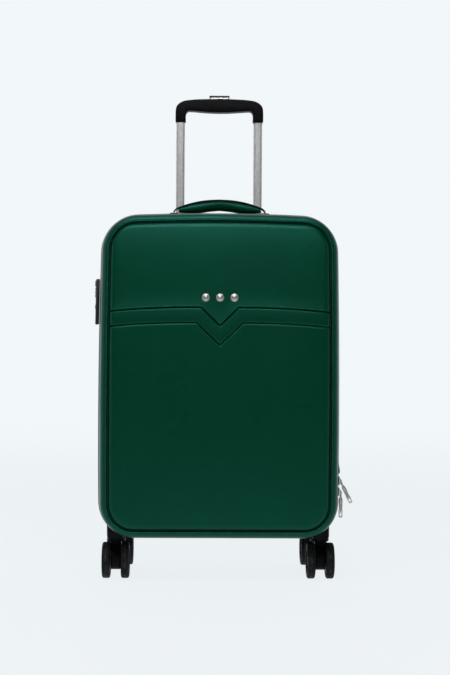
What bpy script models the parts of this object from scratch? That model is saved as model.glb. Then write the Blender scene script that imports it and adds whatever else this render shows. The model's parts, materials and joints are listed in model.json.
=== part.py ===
"""Upright zip-opening cabin case on four twin-wheel casters. Metres, +Z up, front at -Y, floor at z = 0.

The case is a loft of one rounded outline through its depth. Every piece that lies on the case takes its
place from outline() and swell(), so it follows when the case changes size.
"""

import math

import bmesh
import bpy
from mathutils import Matrix, Vector

# Casters, which set how high the case stands
WHEEL_R = 0.0275
DISC_Z = 2 * WHEEL_R + 0.0008
MOUNT_Z = DISC_Z + 0.0047
STEM_TOP_Z = MOUNT_Z + 0.0055

# Case outline, seen from the front
CASE_HALF_W = 0.1757
CASE_BASE_Z = MOUNT_Z + 0.0060
CASE_TOP_Z = 0.5498
CORNER_R = 0.050
TOP_CROWN = 0.005
SIDE_BOW = 0.0035
SIDE_BOW_MORE = 0.0015
BOW_MID_Z = CASE_BASE_Z + 0.1815
BOW_HALF_Z = (CASE_TOP_Z - CASE_BASE_Z) / 2 + 0.06835
ARC_STEPS = 6

# Case through its depth
SWELL = 0.0072
SWELL_MID_Y = 0.005
SWELL_HALF_Y = 0.105
FRONT_EDGE_Y = -0.1045
BAND_REAR_Y = 0.0985
REAR_FACE_Y = 0.1125
ZIP_Y = -0.0720
ZIP_HALF = 0.0072
WALL = 0.0060
LID_WALL = 0.0050

# Fits
GAP = 0.0003
SLIDE_FIT = 0.0004
RUN_FIT = 0.0001

# Zip ends, on the hinge side
ZIP_END_Z = CASE_BASE_Z + 0.0595
GUSSET_TOP_Z = CASE_TOP_Z - 0.0988
TAPE_DEEP = 0.0030
TAPE_SINK = 0.0010
TEETH_W = 0.0022

# Front panels
GROOVE_IN = 0.0092
PANEL_IN = 0.0124
PANEL_BACK_Y = FRONT_EDGE_Y + 0.0057
PANEL_EDGE_Y = FRONT_EDGE_Y + 0.0020
PANEL_ROUND = 0.0060
PANEL_ROUND_Y = 0.0035
PANEL_CROWN = 0.0062
PIPING_R = 0.0012
BAND_PROUD = 0.0007
SEAM_UP_Z = CASE_TOP_Z - 0.1383
SEAM_UP_TIP_Z = SEAM_UP_Z - 0.0272
SEAM_UP_HALF = 0.0280
SEAM_LOW_Z = SEAM_UP_Z - 0.0226
SEAM_LOW_TIP_Z = SEAM_LOW_Z - 0.0329
SEAM_LOW_HALF = 0.0345
SEAM_DROOP = 0.0055
STUD_Z = SEAM_UP_Z + 0.0173
STUD_PITCH = 0.0215
STUD_R = 0.0060
STUD_H = 0.0026

# Trolley handle
TROLLEY_Y = 0.0800
TUBE_X = 0.0627
TUBE_W = 0.0134
TUBE_D = 0.0170
TUBE_WALL = 0.0012
INNER_LOW_Z = CASE_TOP_Z - 0.2648
FOOT_Z = CASE_BASE_Z + 0.0055
FOOT_TOP_Z = FOOT_Z + 0.0113
MIDDLE_LOW_Z = FOOT_TOP_Z + 0.0167
GRIP_LEG_Z = CASE_TOP_Z + 0.1675
GRIP_LEG_W = TUBE_W + 0.0036
GRIP_HALF_W = TUBE_X + GRIP_LEG_W / 2
GRIP_DEEP = TUBE_D + 0.0050
GRIP_TOP_Z = GRIP_LEG_Z + 0.0384
GRIP_UNDER_Z = GRIP_LEG_Z + 0.0161
SOCKET_DEEP = 0.0160
BUTTON_W = 0.0330
BUTTON_D = 0.0110
BUTTON_TOP_Z = GRIP_TOP_Z + 0.0058
BUTTON_H = 0.0135
BUTTON_TRAVEL = 0.0040
CUP_HALF_W = GRIP_HALF_W + 0.0068
CUP_D = TUBE_D + 0.0100
CUP_FLOOR_Z = CASE_TOP_Z - 0.0273
CUP_BASE_Z = CUP_FLOOR_Z - 0.0075
CUP_WALL = 0.0020
CUP_LIP = 0.0035
CUP_LIP_H = 0.0018

# Carry handle
STRAP_HALF = 0.0722
STRAP_T = 0.0016
STRAP_W = 0.0200
STRAP_FOOT_Z = CASE_TOP_Z - 0.0168
STRAP_TOP_Z = CASE_TOP_Z + 0.0354
STRAP_END_Z = CASE_TOP_Z + 0.0202
GRIP_PAD_HALF = STRAP_HALF - 0.0122
GRIP_PAD_W = 0.0260
ANCHOR_X = 0.0140
ANCHOR_Y = 0.0300
ANCHOR_H = 0.0024

# Lock on the side away from the hinge
LOCK_TOP_Z = CASE_TOP_Z - 0.0923
LOCK_LOW_Z = LOCK_TOP_Z - 0.0698
LOCK_FRONT_Y = ZIP_Y + 0.0080
LOCK_D = 0.0240
LOCK_H = 0.0056
DIAL_R = 0.0030
DIAL_PROUD = 0.0012
LOCK_SKIN = 0.0005
DIAL_W = 0.0042
DIAL_PITCH = 0.0052
DIAL_TOP_Z = LOCK_TOP_Z - 0.0133

# Zip pulls
SLIDER_H = 0.0016
SLIDER_D = 0.0100
UPPER_SLIDER_Z = ZIP_END_Z + 0.0250
UPPER_SLIDER_L = 0.0139
LOWER_SLIDER_Z = ZIP_END_Z + 0.0083
LOWER_SLIDER_L = 0.0127
PIN_R = 0.0008
PULL_EYE_R = 0.0017
PULL_HOLE_R = 0.00095
PULL_T = 0.0022
PULL_W = 0.0060
UPPER_PULL_L = 0.0358
LOWER_PULL_L = 0.0380
UPPER_PULL_TILT = math.radians(26.0)

# Casters
CASTER_X = CASE_HALF_W - 0.0192
CASTER_FRONT_Y = -0.0470
CASTER_REAR_Y = 0.0640
TRAIL = 0.0150
WHEEL_W = 0.0125
FORK_HALF = 0.00775
WHEEL_CLEAR = 0.0005
HUB_R = 0.0141
AXLE_R = 0.0030
DISC_R = 0.0145
MOUNT_HALF_Y = 0.0200
MOUNT_FROM_DEG = 17.0
MOUNT_SPAN_DEG = 33.0
STEM_R = 0.0050
WHEEL_SEGMENTS = 22

# Inside
LINING_Y = TROLLEY_Y - CUP_D / 2 - 0.0035
LINING_T = 0.0030
BOARD_T = 0.0042
PACK_STRAP_Z = 0.3000
PACK_STRAP_W = 0.0250
PACK_STRAP_T = 0.0012
BUCKLE_W = 0.0420
BUCKLE_H = 0.0340
BUCKLE_T = 0.0052

MATERIALS = {
    "leatherette": ((0.002, 0.045, 0.026), 0.0, 0.42),
    "edge_trim": ((0.003, 0.050, 0.032), 0.0, 0.45),
    "zip_tape": ((0.010, 0.020, 0.018), 0.0, 0.85),
    "steel": ((0.50, 0.49, 0.47), 1.0, 0.28),
    "tube": ((0.40, 0.40, 0.39), 1.0, 0.35),
    "black_plastic": ((0.012, 0.012, 0.014), 0.0, 0.45),
    "lock_plastic": ((0.010, 0.016, 0.016), 0.0, 0.40),
    "wheel_rubber": ((0.012, 0.012, 0.013), 0.0, 0.60),
    "lining": ((0.030, 0.034, 0.036), 0.0, 0.85),
    "button": ((0.060, 0.080, 0.095), 0.3, 0.30),
}


def clear_scene():
    """Removes whatever the scene starts with."""
    for obj in list(bpy.data.objects):
        bpy.data.objects.remove(obj)


def material_of(node, finish):
    """A Principled material of the node's own."""
    colour, metallic, roughness = MATERIALS[finish]
    material = bpy.data.materials.new(node)
    material.use_nodes = True
    shader = material.node_tree.nodes["Principled BSDF"]
    shader.inputs["Base Color"].default_value = (*colour, 1.0)
    shader.inputs["Metallic"].default_value = metallic
    shader.inputs["Roughness"].default_value = roughness
    material.diffuse_color = (*colour, 1.0)
    return material


def put(name, finish, build, origin=(0.0, 0.0, 0.0), smooth=None):
    """Makes a node from a bmesh in world coordinates, its origin moved to the given point."""
    bmesh.ops.recalc_face_normals(build, faces=build.faces[:])
    bmesh.ops.translate(build, vec=-Vector(origin), verts=build.verts[:])
    mesh = bpy.data.meshes.new(name)
    build.to_mesh(mesh)
    build.free()
    obj = bpy.data.objects.new(name, mesh)
    obj.location = origin
    bpy.context.scene.collection.objects.link(obj)
    if finish is None:
        obj.hide_render = True
        obj.display_type = "WIRE"
        return obj
    mesh.materials.append(material_of(name, finish))
    if smooth is not None:
        mesh.shade_smooth()
        mesh.set_sharp_from_angle(angle=math.radians(smooth))
    return obj


def boolean(obj, other, operation):
    """Adds an exact Boolean with a helper object."""
    modifier = obj.modifiers.new(operation.lower(), "BOOLEAN")
    modifier.operation = operation
    modifier.solver = "EXACT"
    modifier.object = other


def bevel(obj, width, segments, angle=40.0):
    """Rounds every edge sharper than the angle."""
    modifier = obj.modifiers.new("round", "BEVEL")
    modifier.width = width
    modifier.segments = segments
    modifier.limit_method = "ANGLE"
    modifier.angle_limit = math.radians(angle)


def box(low, high):
    """A box as a bmesh."""
    build = bmesh.new()
    size = [b - a for a, b in zip(low, high)]
    middle = [(a + b) / 2 for a, b in zip(low, high)]
    place = Matrix.Translation(middle) @ Matrix.Diagonal((*size, 1.0))
    bmesh.ops.create_cube(build, size=1.0, matrix=place)
    return build


def skin(rings, capped=True, closed=False):
    """Joins rings of equal length into one surface. Each ring is a closed loop of points."""
    build = bmesh.new()
    rows = [[build.verts.new(point) for point in ring] for ring in rings]
    pairs = list(zip(rows, rows[1:]))
    if closed:
        pairs.append((rows[-1], rows[0]))
    for one, two in pairs:
        for i in range(len(one)):
            j = (i + 1) % len(one)
            build.faces.new((one[i], one[j], two[j], two[i]))
    if capped and not closed:
        build.faces.new(rows[0])
        build.faces.new(rows[-1])
    return build


def prism(points, low, high, axis):
    """A flat polygon pushed along one axis. The points give the other two coordinates in order."""
    rings = []
    for level in (low, high):
        ring = []
        for a, b in points:
            ring.append({"X": (level, a, b), "Y": (a, level, b), "Z": (a, b, level)}[axis])
        rings.append(ring)
    return skin(rings)


def circle(a, b, radius, count, start=0.0):
    """Points of a regular polygon."""
    turn = 2 * math.pi / count
    return [
        (a + radius * math.cos(start + i * turn), b + radius * math.sin(start + i * turn))
        for i in range(count)
    ]


def turned(profile, centre, axis, count):
    """A closed profile of (along, radius) turned round an axis through the centre."""
    rings = []
    for i in range(count):
        angle = 2 * math.pi * i / count
        ring = []
        for along, radius in profile:
            one = radius * math.cos(angle)
            two = radius * math.sin(angle)
            offset = (along, two, -one) if axis == "X" else (one, two, along)
            ring.append(tuple(c + d for c, d in zip(centre, offset)))
        rings.append(ring)
    return skin(rings, closed=True)


def swell(y):
    """How far the case stands out from its front outline at this depth."""
    return SWELL * (1 - ((y - SWELL_MID_Y) / SWELL_HALF_Y) ** 2)


def bow(y):
    """How far the sides bow out at this depth."""
    return SIDE_BOW + SIDE_BOW_MORE * max(0.0, swell(y)) / SWELL


def bent(x, z, y):
    """Bows a point of the plain outline sideways and crowns the top."""
    rise = max(0.0, (z - BOW_MID_Z) / (CASE_TOP_Z - BOW_MID_Z))
    wide = 1 + bow(y) / CASE_HALF_W * (1 - ((z - BOW_MID_Z) / BOW_HALF_Z) ** 2)
    return x * wide, z + TOP_CROWN * rise * max(0.0, 1 - (x / CASE_HALF_W) ** 2)


def side_x(z, y, out=0.0):
    """X of the hinge side's surface at a height in its straight part."""
    return bent(CASE_HALF_W + swell(y) + out, z, y)[0]


def top_z(x, y, out=0.0):
    """Z of the top surface at an x in its straight part."""
    return bent(x, CASE_TOP_Z + swell(y) + out, y)[1]


def arc_stations(sign_x, sign_z, start):
    """Stations of one rounded corner, both ends included."""
    core_x = sign_x * (CASE_HALF_W - CORNER_R)
    core_z = CASE_TOP_Z - CORNER_R if sign_z > 0 else CASE_BASE_Z + CORNER_R
    found = []
    for i in range(ARC_STEPS + 1):
        angle = math.radians(start + 90.0 * i / ARC_STEPS)
        found.append((core_x, core_z, math.cos(angle), math.sin(angle)))
    return found


def between(low, high, count):
    """Evenly spaced values strictly between two ends."""
    return [low + (high - low) * (i + 1) / (count + 1) for i in range(count)]


def zip_stations():
    """Stations of the zip's way round, from the hinge's top over the top and back to its lower end."""
    core_x = CASE_HALF_W - CORNER_R
    high = CASE_TOP_Z - CORNER_R
    low = CASE_BASE_Z + CORNER_R
    found = [(core_x, GUSSET_TOP_Z, 1.0, 0.0)]
    found += arc_stations(1, 1, 0.0)
    found += [(x, high, 0.0, 1.0) for x in between(core_x, -core_x, 5)]
    found += arc_stations(-1, 1, 90.0)
    found += [(-core_x, z, -1.0, 0.0) for z in between(high, low, 6)]
    found += arc_stations(-1, -1, 180.0)
    found += [(x, low, 0.0, -1.0) for x in between(-core_x, core_x, 3)]
    found += arc_stations(1, -1, 270.0)
    found.append((core_x, ZIP_END_Z, 1.0, 0.0))
    return found


def hinge_stations(gap):
    """Stations of the hinge's stretch, kept off the zip's two ends by a gap."""
    core_x = CASE_HALF_W - CORNER_R
    heights = [ZIP_END_Z + gap, *between(ZIP_END_Z, GUSSET_TOP_Z, 5), GUSSET_TOP_Z - gap]
    return [(core_x, z, 1.0, 0.0) for z in heights]


def case_stations():
    """Stations of the whole outline."""
    return zip_stations() + hinge_stations(GAP)[1:-1]


def outline(y, out, stations):
    """Points of the case's outline at a depth, moved out by a distance."""
    ring = []
    for core_x, core_z, way_x, way_z in stations:
        reach = CORNER_R + out
        x, z = bent(core_x + way_x * reach, core_z + way_z * reach, y)
        ring.append((x, y, z))
    return ring


def build_side_band():
    outer = [ZIP_Y + ZIP_HALF, -0.040, -0.010, 0.020, 0.050, 0.075, BAND_REAR_Y]
    inner = [BAND_REAR_Y, 0.050, 0.0, ZIP_Y + ZIP_HALF]
    stations = case_stations()
    rings = [outline(y, swell(y), stations) for y in outer]
    rings += [outline(y, swell(y) - WALL, stations) for y in inner]
    band = put("side_band", "leatherette", skin(rings, closed=True), smooth=35)
    half_d = CUP_D / 2 + GAP
    low = (-CUP_HALF_W - GAP, TROLLEY_Y - half_d, CUP_FLOOR_Z)
    high = (CUP_HALF_W + GAP, TROLLEY_Y + half_d, CASE_TOP_Z + CORNER_R)
    boolean(band, put("cut_cup", None, box(low, high)), "DIFFERENCE")
    for side, name in ((-1, "left"), (1, "right")):
        x = side * (STRAP_HALF - STRAP_T / 2)
        reach_x = STRAP_T / 2 + SLIDE_FIT
        reach_y = STRAP_W / 2 + SLIDE_FIT
        low = (x - reach_x, -reach_y, STRAP_FOOT_Z)
        high = (x + reach_x, reach_y, STRAP_TOP_Z)
        boolean(band, put("cut_slot_" + name, None, box(low, high)), "DIFFERENCE")


def build_lid_band():
    zip_y = ZIP_Y - ZIP_HALF
    board_y = PANEL_BACK_Y + GAP
    profile = [
        (zip_y, swell(zip_y)),
        (-0.0900, swell(-0.0900) + 0.0004),
        (-0.0975, 0.0004),
        (-0.1015, -0.0014),
        (-0.1037, -0.0042),
        (FRONT_EDGE_Y, -0.0068),
        (-0.1040, -GROOVE_IN),
        (board_y, -GROOVE_IN),
        (board_y, -LID_WALL),
        (zip_y, swell(zip_y) - LID_WALL),
    ]
    stations = case_stations()
    rings = [outline(y, out, stations) for y, out in profile]
    put("lid_band", "leatherette", skin(rings, closed=True), smooth=35)


def build_rear_panel():
    profile = [
        (REAR_FACE_Y, -0.018),
        (0.1113, -0.0090),
        (0.1085, -0.0035),
        (0.1040, -0.0003),
        (BAND_REAR_Y + GAP, swell(BAND_REAR_Y)),
        (BAND_REAR_Y + GAP, swell(BAND_REAR_Y) - WALL),
        (0.1015, -0.0065),
        (0.1055, -0.0105),
        (REAR_FACE_Y - 0.0040, -0.018),
    ]
    stations = case_stations()
    rings = [outline(y, out, stations) for y, out in profile]
    put("rear_panel", "leatherette", skin(rings), smooth=35)


def build_boards():
    stations = case_stations()
    front = PANEL_BACK_Y + 2 * GAP
    rings = [outline(y, -LID_WALL - GAP, stations) for y in (front, front + BOARD_T)]
    put("front_board", "lining", skin(rings))
    rear = LINING_Y + LINING_T
    low = swell(rear) - WALL - 2 * GAP
    rings = [outline(y, low, stations) for y in (LINING_Y, rear)]
    put("rear_lining", "lining", skin(rings))


def build_piping():
    stations = case_stations()
    middle = (GROOVE_IN + PANEL_IN) / 2
    rings = []
    for y, out in circle(PANEL_BACK_Y - PIPING_R - GAP, -middle, PIPING_R, 6):
        rings.append(outline(y, out, stations))
    put("front_piping", "edge_trim", skin(rings, closed=True), smooth=70)


def swept(sections, stations):
    """A (y, out) section carried along open stations and capped at both ends."""
    rows = [outline(y, swell(y) + out, stations) for y, out in sections]
    return skin([list(ring) for ring in zip(*rows)])


def tape_section(side):
    """One zip tape's section: a flat tape with its row of teeth along the zip's middle."""
    edge = ZIP_Y + side * GAP / 2
    teeth = edge + side * TEETH_W
    far = ZIP_Y + side * (ZIP_HALF - GAP)
    return [
        (edge, -TAPE_DEEP),
        (edge, 0.0002),
        (teeth, 0.0002),
        (teeth, -TAPE_SINK),
        (far, -TAPE_SINK),
        (far, -TAPE_DEEP),
    ]


def build_zip():
    path = zip_stations()
    for side, name in ((1, "zip_tape_case"), (-1, "zip_tape_lid")):
        put(name, "zip_tape", swept(tape_section(side), path), smooth=35)
    reach = ZIP_HALF - GAP
    section = [
        (ZIP_Y - reach, -TAPE_DEEP),
        (ZIP_Y - reach, -TAPE_SINK),
        (ZIP_Y + reach, -TAPE_SINK),
        (ZIP_Y + reach, -TAPE_DEEP),
    ]
    put("hinge_gusset", "leatherette", swept(section, hinge_stations(GAP)), smooth=35)


def seam_z(x, level, tip, half):
    """Height of a chevron seam: level, drooping at the sides, with a V in the middle."""
    if abs(x) < half:
        return tip + (level - tip) * abs(x) / half
    share = (abs(x) - half) / (CASE_HALF_W - half)
    return level - SEAM_DROOP * share**2.5


def panel_half(z, inset):
    """Half width of the front panels at a height, rounded corners included."""
    flat = CASE_HALF_W - inset
    radius = CORNER_R - inset
    top = CASE_TOP_Z - inset
    low = CASE_BASE_Z + inset
    over = max(0.0, z - (top - radius), (low + radius) - z)
    over = min(over, radius)
    plain = flat - radius + math.sqrt(max(0.0, radius**2 - over**2))
    return plain


def panel_face_y(x, z):
    """Depth of the panels' crowned front: rounded at the rim, gently domed inside."""
    half = panel_half(z, PANEL_IN)
    mid = (CASE_TOP_Z + CASE_BASE_Z) / 2
    tall = (CASE_TOP_Z - CASE_BASE_Z) / 2 - PANEL_IN
    rim = max(0.0, min(half - abs(x), tall - abs(z - mid)))
    share = 1 - min(1.0, rim / PANEL_ROUND)
    rounding = PANEL_ROUND_Y * math.sqrt(max(0.0, 1 - share**2))
    dome = max(0.0, 1 - (x / (CASE_HALF_W - PANEL_IN)) ** 2) * max(0.0, 1 - ((z - mid) / tall) ** 2)
    return PANEL_EDGE_Y - rounding - PANEL_CROWN * dome**0.5


def column_shares():
    """Where the panels' columns stand, from -1 to 1: close at the rim and at the chevron's V."""
    reach = CASE_HALF_W - PANEL_IN
    half = [0.0, SEAM_UP_HALF / reach, SEAM_LOW_HALF / reach, 0.40, 0.60, 0.80, 0.93, 0.975, 1.0]
    return [-share for share in reversed(half[1:])] + half


def panel_rows(kind):
    """Rows of one front panel from low to high, as functions of x that give z."""
    gap = GAP / 2
    top = CASE_TOP_Z - PANEL_IN
    low = CASE_BASE_Z + PANEL_IN
    arc = CORNER_R - PANEL_IN
    steps = [math.sin(math.radians(a)) for a in (0, 22.5, 45, 67.5, 82, 90)]

    def upper_seam(x, shift):
        return seam_z(x, SEAM_UP_Z, SEAM_UP_TIP_Z, SEAM_UP_HALF) + shift

    def lower_seam(x, shift):
        return seam_z(x, SEAM_LOW_Z, SEAM_LOW_TIP_Z, SEAM_LOW_HALF) + shift

    if kind == "upper":
        level = SEAM_UP_Z + 0.030
        rows = [lambda x: upper_seam(x, gap)]
        rows += [lambda x, z=z: z for z in (level, top - arc)]
        rows += [lambda x, z=top - arc + arc * s: z for s in steps[1:]]
        return rows
    if kind == "chevron":
        return [lambda x: lower_seam(x, gap), lambda x: upper_seam(x, -gap)]
    rows = [lambda x, z=low + arc - arc * s: z for s in reversed(steps[1:])]
    rows += [lambda x, z=z: z for z in (low + arc, 0.19, 0.26, SEAM_LOW_TIP_Z - 0.015)]
    rows.append(lambda x: lower_seam(x, -gap))
    return rows


def build_front_panel(name, kind, proud):
    """A panel cut to its seams, with a crowned front and a flat back."""
    build = bmesh.new()
    fronts, backs = [], []
    reach = CASE_HALF_W - PANEL_IN
    for row in panel_rows(kind):
        front, back = [], []
        for share in column_shares():
            z = row(share * reach)
            x = share * panel_half(z, PANEL_IN)
            face = panel_face_y(x, z) - proud
            px, pz = bent(x, z, FRONT_EDGE_Y)
            front.append(build.verts.new((px, face, pz)))
            back.append(build.verts.new((px, PANEL_BACK_Y, pz)))
        fronts.append(front)
        backs.append(back)
    for grid in (fronts, backs):
        for one, two in zip(grid, grid[1:]):
            for i in range(len(one) - 1):
                build.faces.new((one[i], one[i + 1], two[i + 1], two[i]))
    for row in (0, -1):
        for i in range(len(fronts[row]) - 1):
            corners = (fronts[row][i], fronts[row][i + 1], backs[row][i + 1], backs[row][i])
            build.faces.new(corners)
    for column in (0, -1):
        for j in range(len(fronts) - 1):
            corners = (
                fronts[j][column],
                fronts[j + 1][column],
                backs[j + 1][column],
                backs[j][column],
            )
            build.faces.new(corners)
    flat = [face for face in build.faces if all(abs(v.co.y - PANEL_BACK_Y) < 1e-9 for v in face.verts)]
    bmesh.ops.dissolve_faces(build, faces=flat)
    put(name, "leatherette", build, smooth=35)


def build_studs():
    """Three plain domed studs on the upper panel."""
    for i, name in ((-1, "stud_left"), (0, "stud_middle"), (1, "stud_right")):
        x = i * STUD_PITCH
        face = panel_face_y(x, STUD_Z) - GAP
        rings = []
        for share, rise in ((1.0, 0.0), (0.92, 0.45), (0.55, 0.88), (0.2, 1.0)):
            ring = circle(x, STUD_Z, STUD_R * share, 16)
            rings.append([(a, face - STUD_H * rise, b) for a, b in ring])
        put(name, "steel", skin(rings), smooth=50)


def rounded(cx, cy, width, depth, radius, steps=3):
    """Points of a rounded rectangle."""
    points = []
    for sx, sy, start in ((1, 1, 0), (-1, 1, 90), (-1, -1, 180), (1, -1, 270)):
        core_x = cx + sx * (width / 2 - radius)
        core_y = cy + sy * (depth / 2 - radius)
        for i in range(steps):
            angle = math.radians(start + 90.0 * i / (steps - 1))
            points.append((core_x + radius * math.cos(angle), core_y + radius * math.sin(angle)))
    return points


def tube(x, grow, low, high):
    """One rectangular tube. grow widens it from the inner tube's size."""
    outer = rounded(x, TROLLEY_Y, TUBE_W + grow, TUBE_D + grow, 0.0030)
    wall = 2 * TUBE_WALL
    inner = rounded(x, TROLLEY_Y, TUBE_W + grow - wall, TUBE_D + grow - wall, 0.0018)
    rings = []
    for points, z in ((outer, low), (outer, high), (inner, high), (inner, low)):
        rings.append([(a, b, z) for a, b in points])
    return skin(rings, closed=True)


def build_tubes():
    step = 2 * (TUBE_WALL + SLIDE_FIT)
    inner_top = GRIP_LEG_Z + SOCKET_DEEP - GAP
    for side, name in ((-1, "left"), (1, "right")):
        x = side * TUBE_X
        outer_top = CUP_BASE_Z - GAP
        put("outer_tube_" + name, "tube", tube(x, 2 * step, FOOT_TOP_Z, outer_top), smooth=35)
        middle_top = CUP_FLOOR_Z - GAP
        origin = (x, TROLLEY_Y, 0.0)
        middle = tube(x, step, MIDDLE_LOW_Z, middle_top)
        put("middle_tube_" + name, "tube", middle, origin, smooth=35)
        put("inner_tube_" + name, "tube", tube(x, 0.0, INNER_LOW_Z, inner_top), origin, smooth=35)
    half_x = TUBE_X + TUBE_W
    half_y = TUBE_D / 2 + step
    low = (-half_x, TROLLEY_Y - half_y, FOOT_Z)
    high = (half_x, TROLLEY_Y + half_y, FOOT_TOP_Z - GAP)
    put("trolley_foot", "black_plastic", box(low, high))


def grip_outline():
    """The pull grip's front view: two legs and an arched bar."""
    inner_x = GRIP_HALF_W - GRIP_LEG_W
    half = [
        (0.0, GRIP_TOP_Z),
        (0.0304, GRIP_TOP_Z - 0.0008),
        (0.0434, GRIP_TOP_Z - 0.0016),
        (0.0565, GRIP_TOP_Z - 0.0034),
        (0.0640, GRIP_TOP_Z - 0.0068),
        (0.0690, GRIP_TOP_Z - 0.0118),
        (0.0708, GRIP_TOP_Z - 0.0175),
        (GRIP_HALF_W, GRIP_LEG_Z),
        (inner_x, GRIP_LEG_Z),
        (inner_x + 0.0004, GRIP_UNDER_Z - 0.0040),
        (inner_x - 0.0012, GRIP_UNDER_Z + 0.0008),
        (inner_x - 0.0052, GRIP_UNDER_Z + 0.0026),
        (0.0304, GRIP_UNDER_Z + 0.0014),
        (0.0140, GRIP_UNDER_Z + 0.0003),
    ]
    mirrored = [(-x, z) for x, z in reversed(half[1:])]
    return half + [(0.0, GRIP_UNDER_Z)] + mirrored


def build_grip():
    """The pull grip with its two sockets and the button's pocket."""
    low = TROLLEY_Y - GRIP_DEEP / 2
    high = TROLLEY_Y + GRIP_DEEP / 2
    origin = (0.0, TROLLEY_Y, GRIP_LEG_Z)
    body = prism(grip_outline(), low, high, "Y")
    grip = put("trolley_grip", "black_plastic", body, origin, smooth=35)
    bevel(grip, 0.0030, 2)
    for side, name in ((-1, "left"), (1, "right")):
        x = side * TUBE_X
        points = rounded(x, TROLLEY_Y, TUBE_W + SLIDE_FIT, TUBE_D + SLIDE_FIT, 0.0030)
        socket = prism(points, GRIP_LEG_Z - SOCKET_DEEP, GRIP_LEG_Z + SOCKET_DEEP, "Z")
        boolean(grip, put("cut_socket_" + name, None, socket), "DIFFERENCE")
    half_x = BUTTON_W / 2 + SLIDE_FIT
    half_y = BUTTON_D / 2 + SLIDE_FIT
    floor = BUTTON_TOP_Z - BUTTON_H - BUTTON_TRAVEL - GAP
    pocket = box((-half_x, TROLLEY_Y - half_y, floor), (half_x, TROLLEY_Y + half_y, GRIP_TOP_Z + 0.02))
    boolean(grip, put("cut_button", None, pocket), "DIFFERENCE")
    rings = []
    for z, inset in (
        (BUTTON_TOP_Z - BUTTON_H, 0.0),
        (BUTTON_TOP_Z - 0.0010, 0.0),
        (BUTTON_TOP_Z, 0.0010),
    ):
        points = rounded(0.0, TROLLEY_Y, BUTTON_W - 2 * inset, BUTTON_D - 2 * inset, 0.0020)
        rings.append([(a, b, z) for a, b in points])
    put("grip_button", "button", skin(rings), (0.0, TROLLEY_Y, BUTTON_TOP_Z), smooth=35)


def build_cup():
    """The well in the case's top that the grip sinks into, with the tubes' holes in its floor."""
    half_d = CUP_D / 2
    lip_z = top_z(0.0, TROLLEY_Y + half_d) + swell(TROLLEY_Y - half_d) - swell(TROLLEY_Y + half_d) + GAP
    body = box(
        (-CUP_HALF_W, TROLLEY_Y - half_d, CUP_BASE_Z),
        (CUP_HALF_W, TROLLEY_Y + half_d, lip_z + CUP_LIP_H),
    )
    cup = put("trolley_cup", "black_plastic", body)
    points = rounded(0.0, TROLLEY_Y, 2 * (CUP_HALF_W + CUP_LIP), CUP_D + 2 * CUP_LIP, 0.0060)
    lip = put("join_lip", None, prism(points, lip_z, lip_z + CUP_LIP_H + 0.0001, "Z"))
    boolean(cup, lip, "UNION")
    points = rounded(0.0, TROLLEY_Y, 2 * (CUP_HALF_W - CUP_LIP), CUP_D - 2 * CUP_WALL, 0.0040)
    well = put("cut_well", None, prism(points, CUP_FLOOR_Z, lip_z + 0.02, "Z"))
    boolean(cup, well, "DIFFERENCE")
    grow = 2 * (TUBE_WALL + SLIDE_FIT) + 2 * GAP
    for side, name in ((-1, "left"), (1, "right")):
        points = rounded(side * TUBE_X, TROLLEY_Y, TUBE_W + grow, TUBE_D + grow, 0.0030)
        hole = prism(points, CUP_BASE_Z - 0.01, CUP_FLOOR_Z + 0.01, "Z")
        boolean(cup, put("cut_tube_" + name, None, hole), "DIFFERENCE")


def strap_path(inner):
    """The carry strap's arch from the front, as its outer or inner line."""
    shift = STRAP_T if inner else 0.0
    half = [
        (STRAP_HALF - shift, STRAP_FOOT_Z),
        (STRAP_HALF - shift, STRAP_END_Z - 0.0070),
        (STRAP_HALF - 0.0006 - shift, STRAP_END_Z - 0.0030),
        (STRAP_HALF - 0.0032 - shift * 0.8, STRAP_END_Z + 0.0004 - shift * 0.6),
        (STRAP_HALF - 0.0080 - shift * 0.5, STRAP_END_Z + 0.0030 - shift * 0.9),
        (0.0500 - shift * 0.3, STRAP_TOP_Z - 0.0072 - shift),
        (0.0350, STRAP_TOP_Z - 0.0034 - shift),
        (0.0180, STRAP_TOP_Z - 0.0009 - shift),
        (0.0, STRAP_TOP_Z - shift),
    ]
    return [(-x, z) for x, z in half] + [(x, z) for x, z in reversed(half[:-1])]


def build_carry_handle():
    """A sprung strap through two anchors, with a padded grip under it."""
    outer = strap_path(False)
    inner = strap_path(True)
    half_w = STRAP_W / 2
    rings = []
    for (ox, oz), (ix, iz) in zip(outer, inner):
        rings.append([(ox, -half_w, oz), (ox, half_w, oz), (ix, half_w, iz), (ix, -half_w, iz)])
    put("carry_strap", "black_plastic", skin(rings), smooth=60)
    rings = []
    for share in (-1.0, -0.93, -0.75, -0.5, -0.25, 0.0, 0.25, 0.5, 0.75, 0.93, 1.0):
        x = share * GRIP_PAD_HALF
        top = STRAP_TOP_Z - STRAP_T - GAP - 0.0098 * abs(share) ** 1.9
        under = max(top_z(x, 0.0), top_z(0.0, 0.0) - 0.0008) + 0.0011 + 0.0016 * (1 - share**2)
        taper = max(0.30, 1 - abs(share) ** 6)
        middle = (top + under) / 2
        tall = (top - under) / 2 * (0.62 + 0.38 * taper)
        wide = GRIP_PAD_W / 2 * (0.80 + 0.20 * taper)
        ring = []
        for i in range(12):
            angle = 2 * math.pi * (i + 0.5) / 12
            a = math.copysign(abs(math.cos(angle)) ** 0.75, math.cos(angle))
            b = math.copysign(abs(math.sin(angle)) ** 0.75, math.sin(angle))
            ring.append((x, wide * a, middle + tall * b))
        rings.append(ring)
    put("carry_grip", "leatherette", skin(rings), smooth=60)
    for side, name in ((-1, "left"), (1, "right")):
        build_anchor(side, name)


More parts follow.
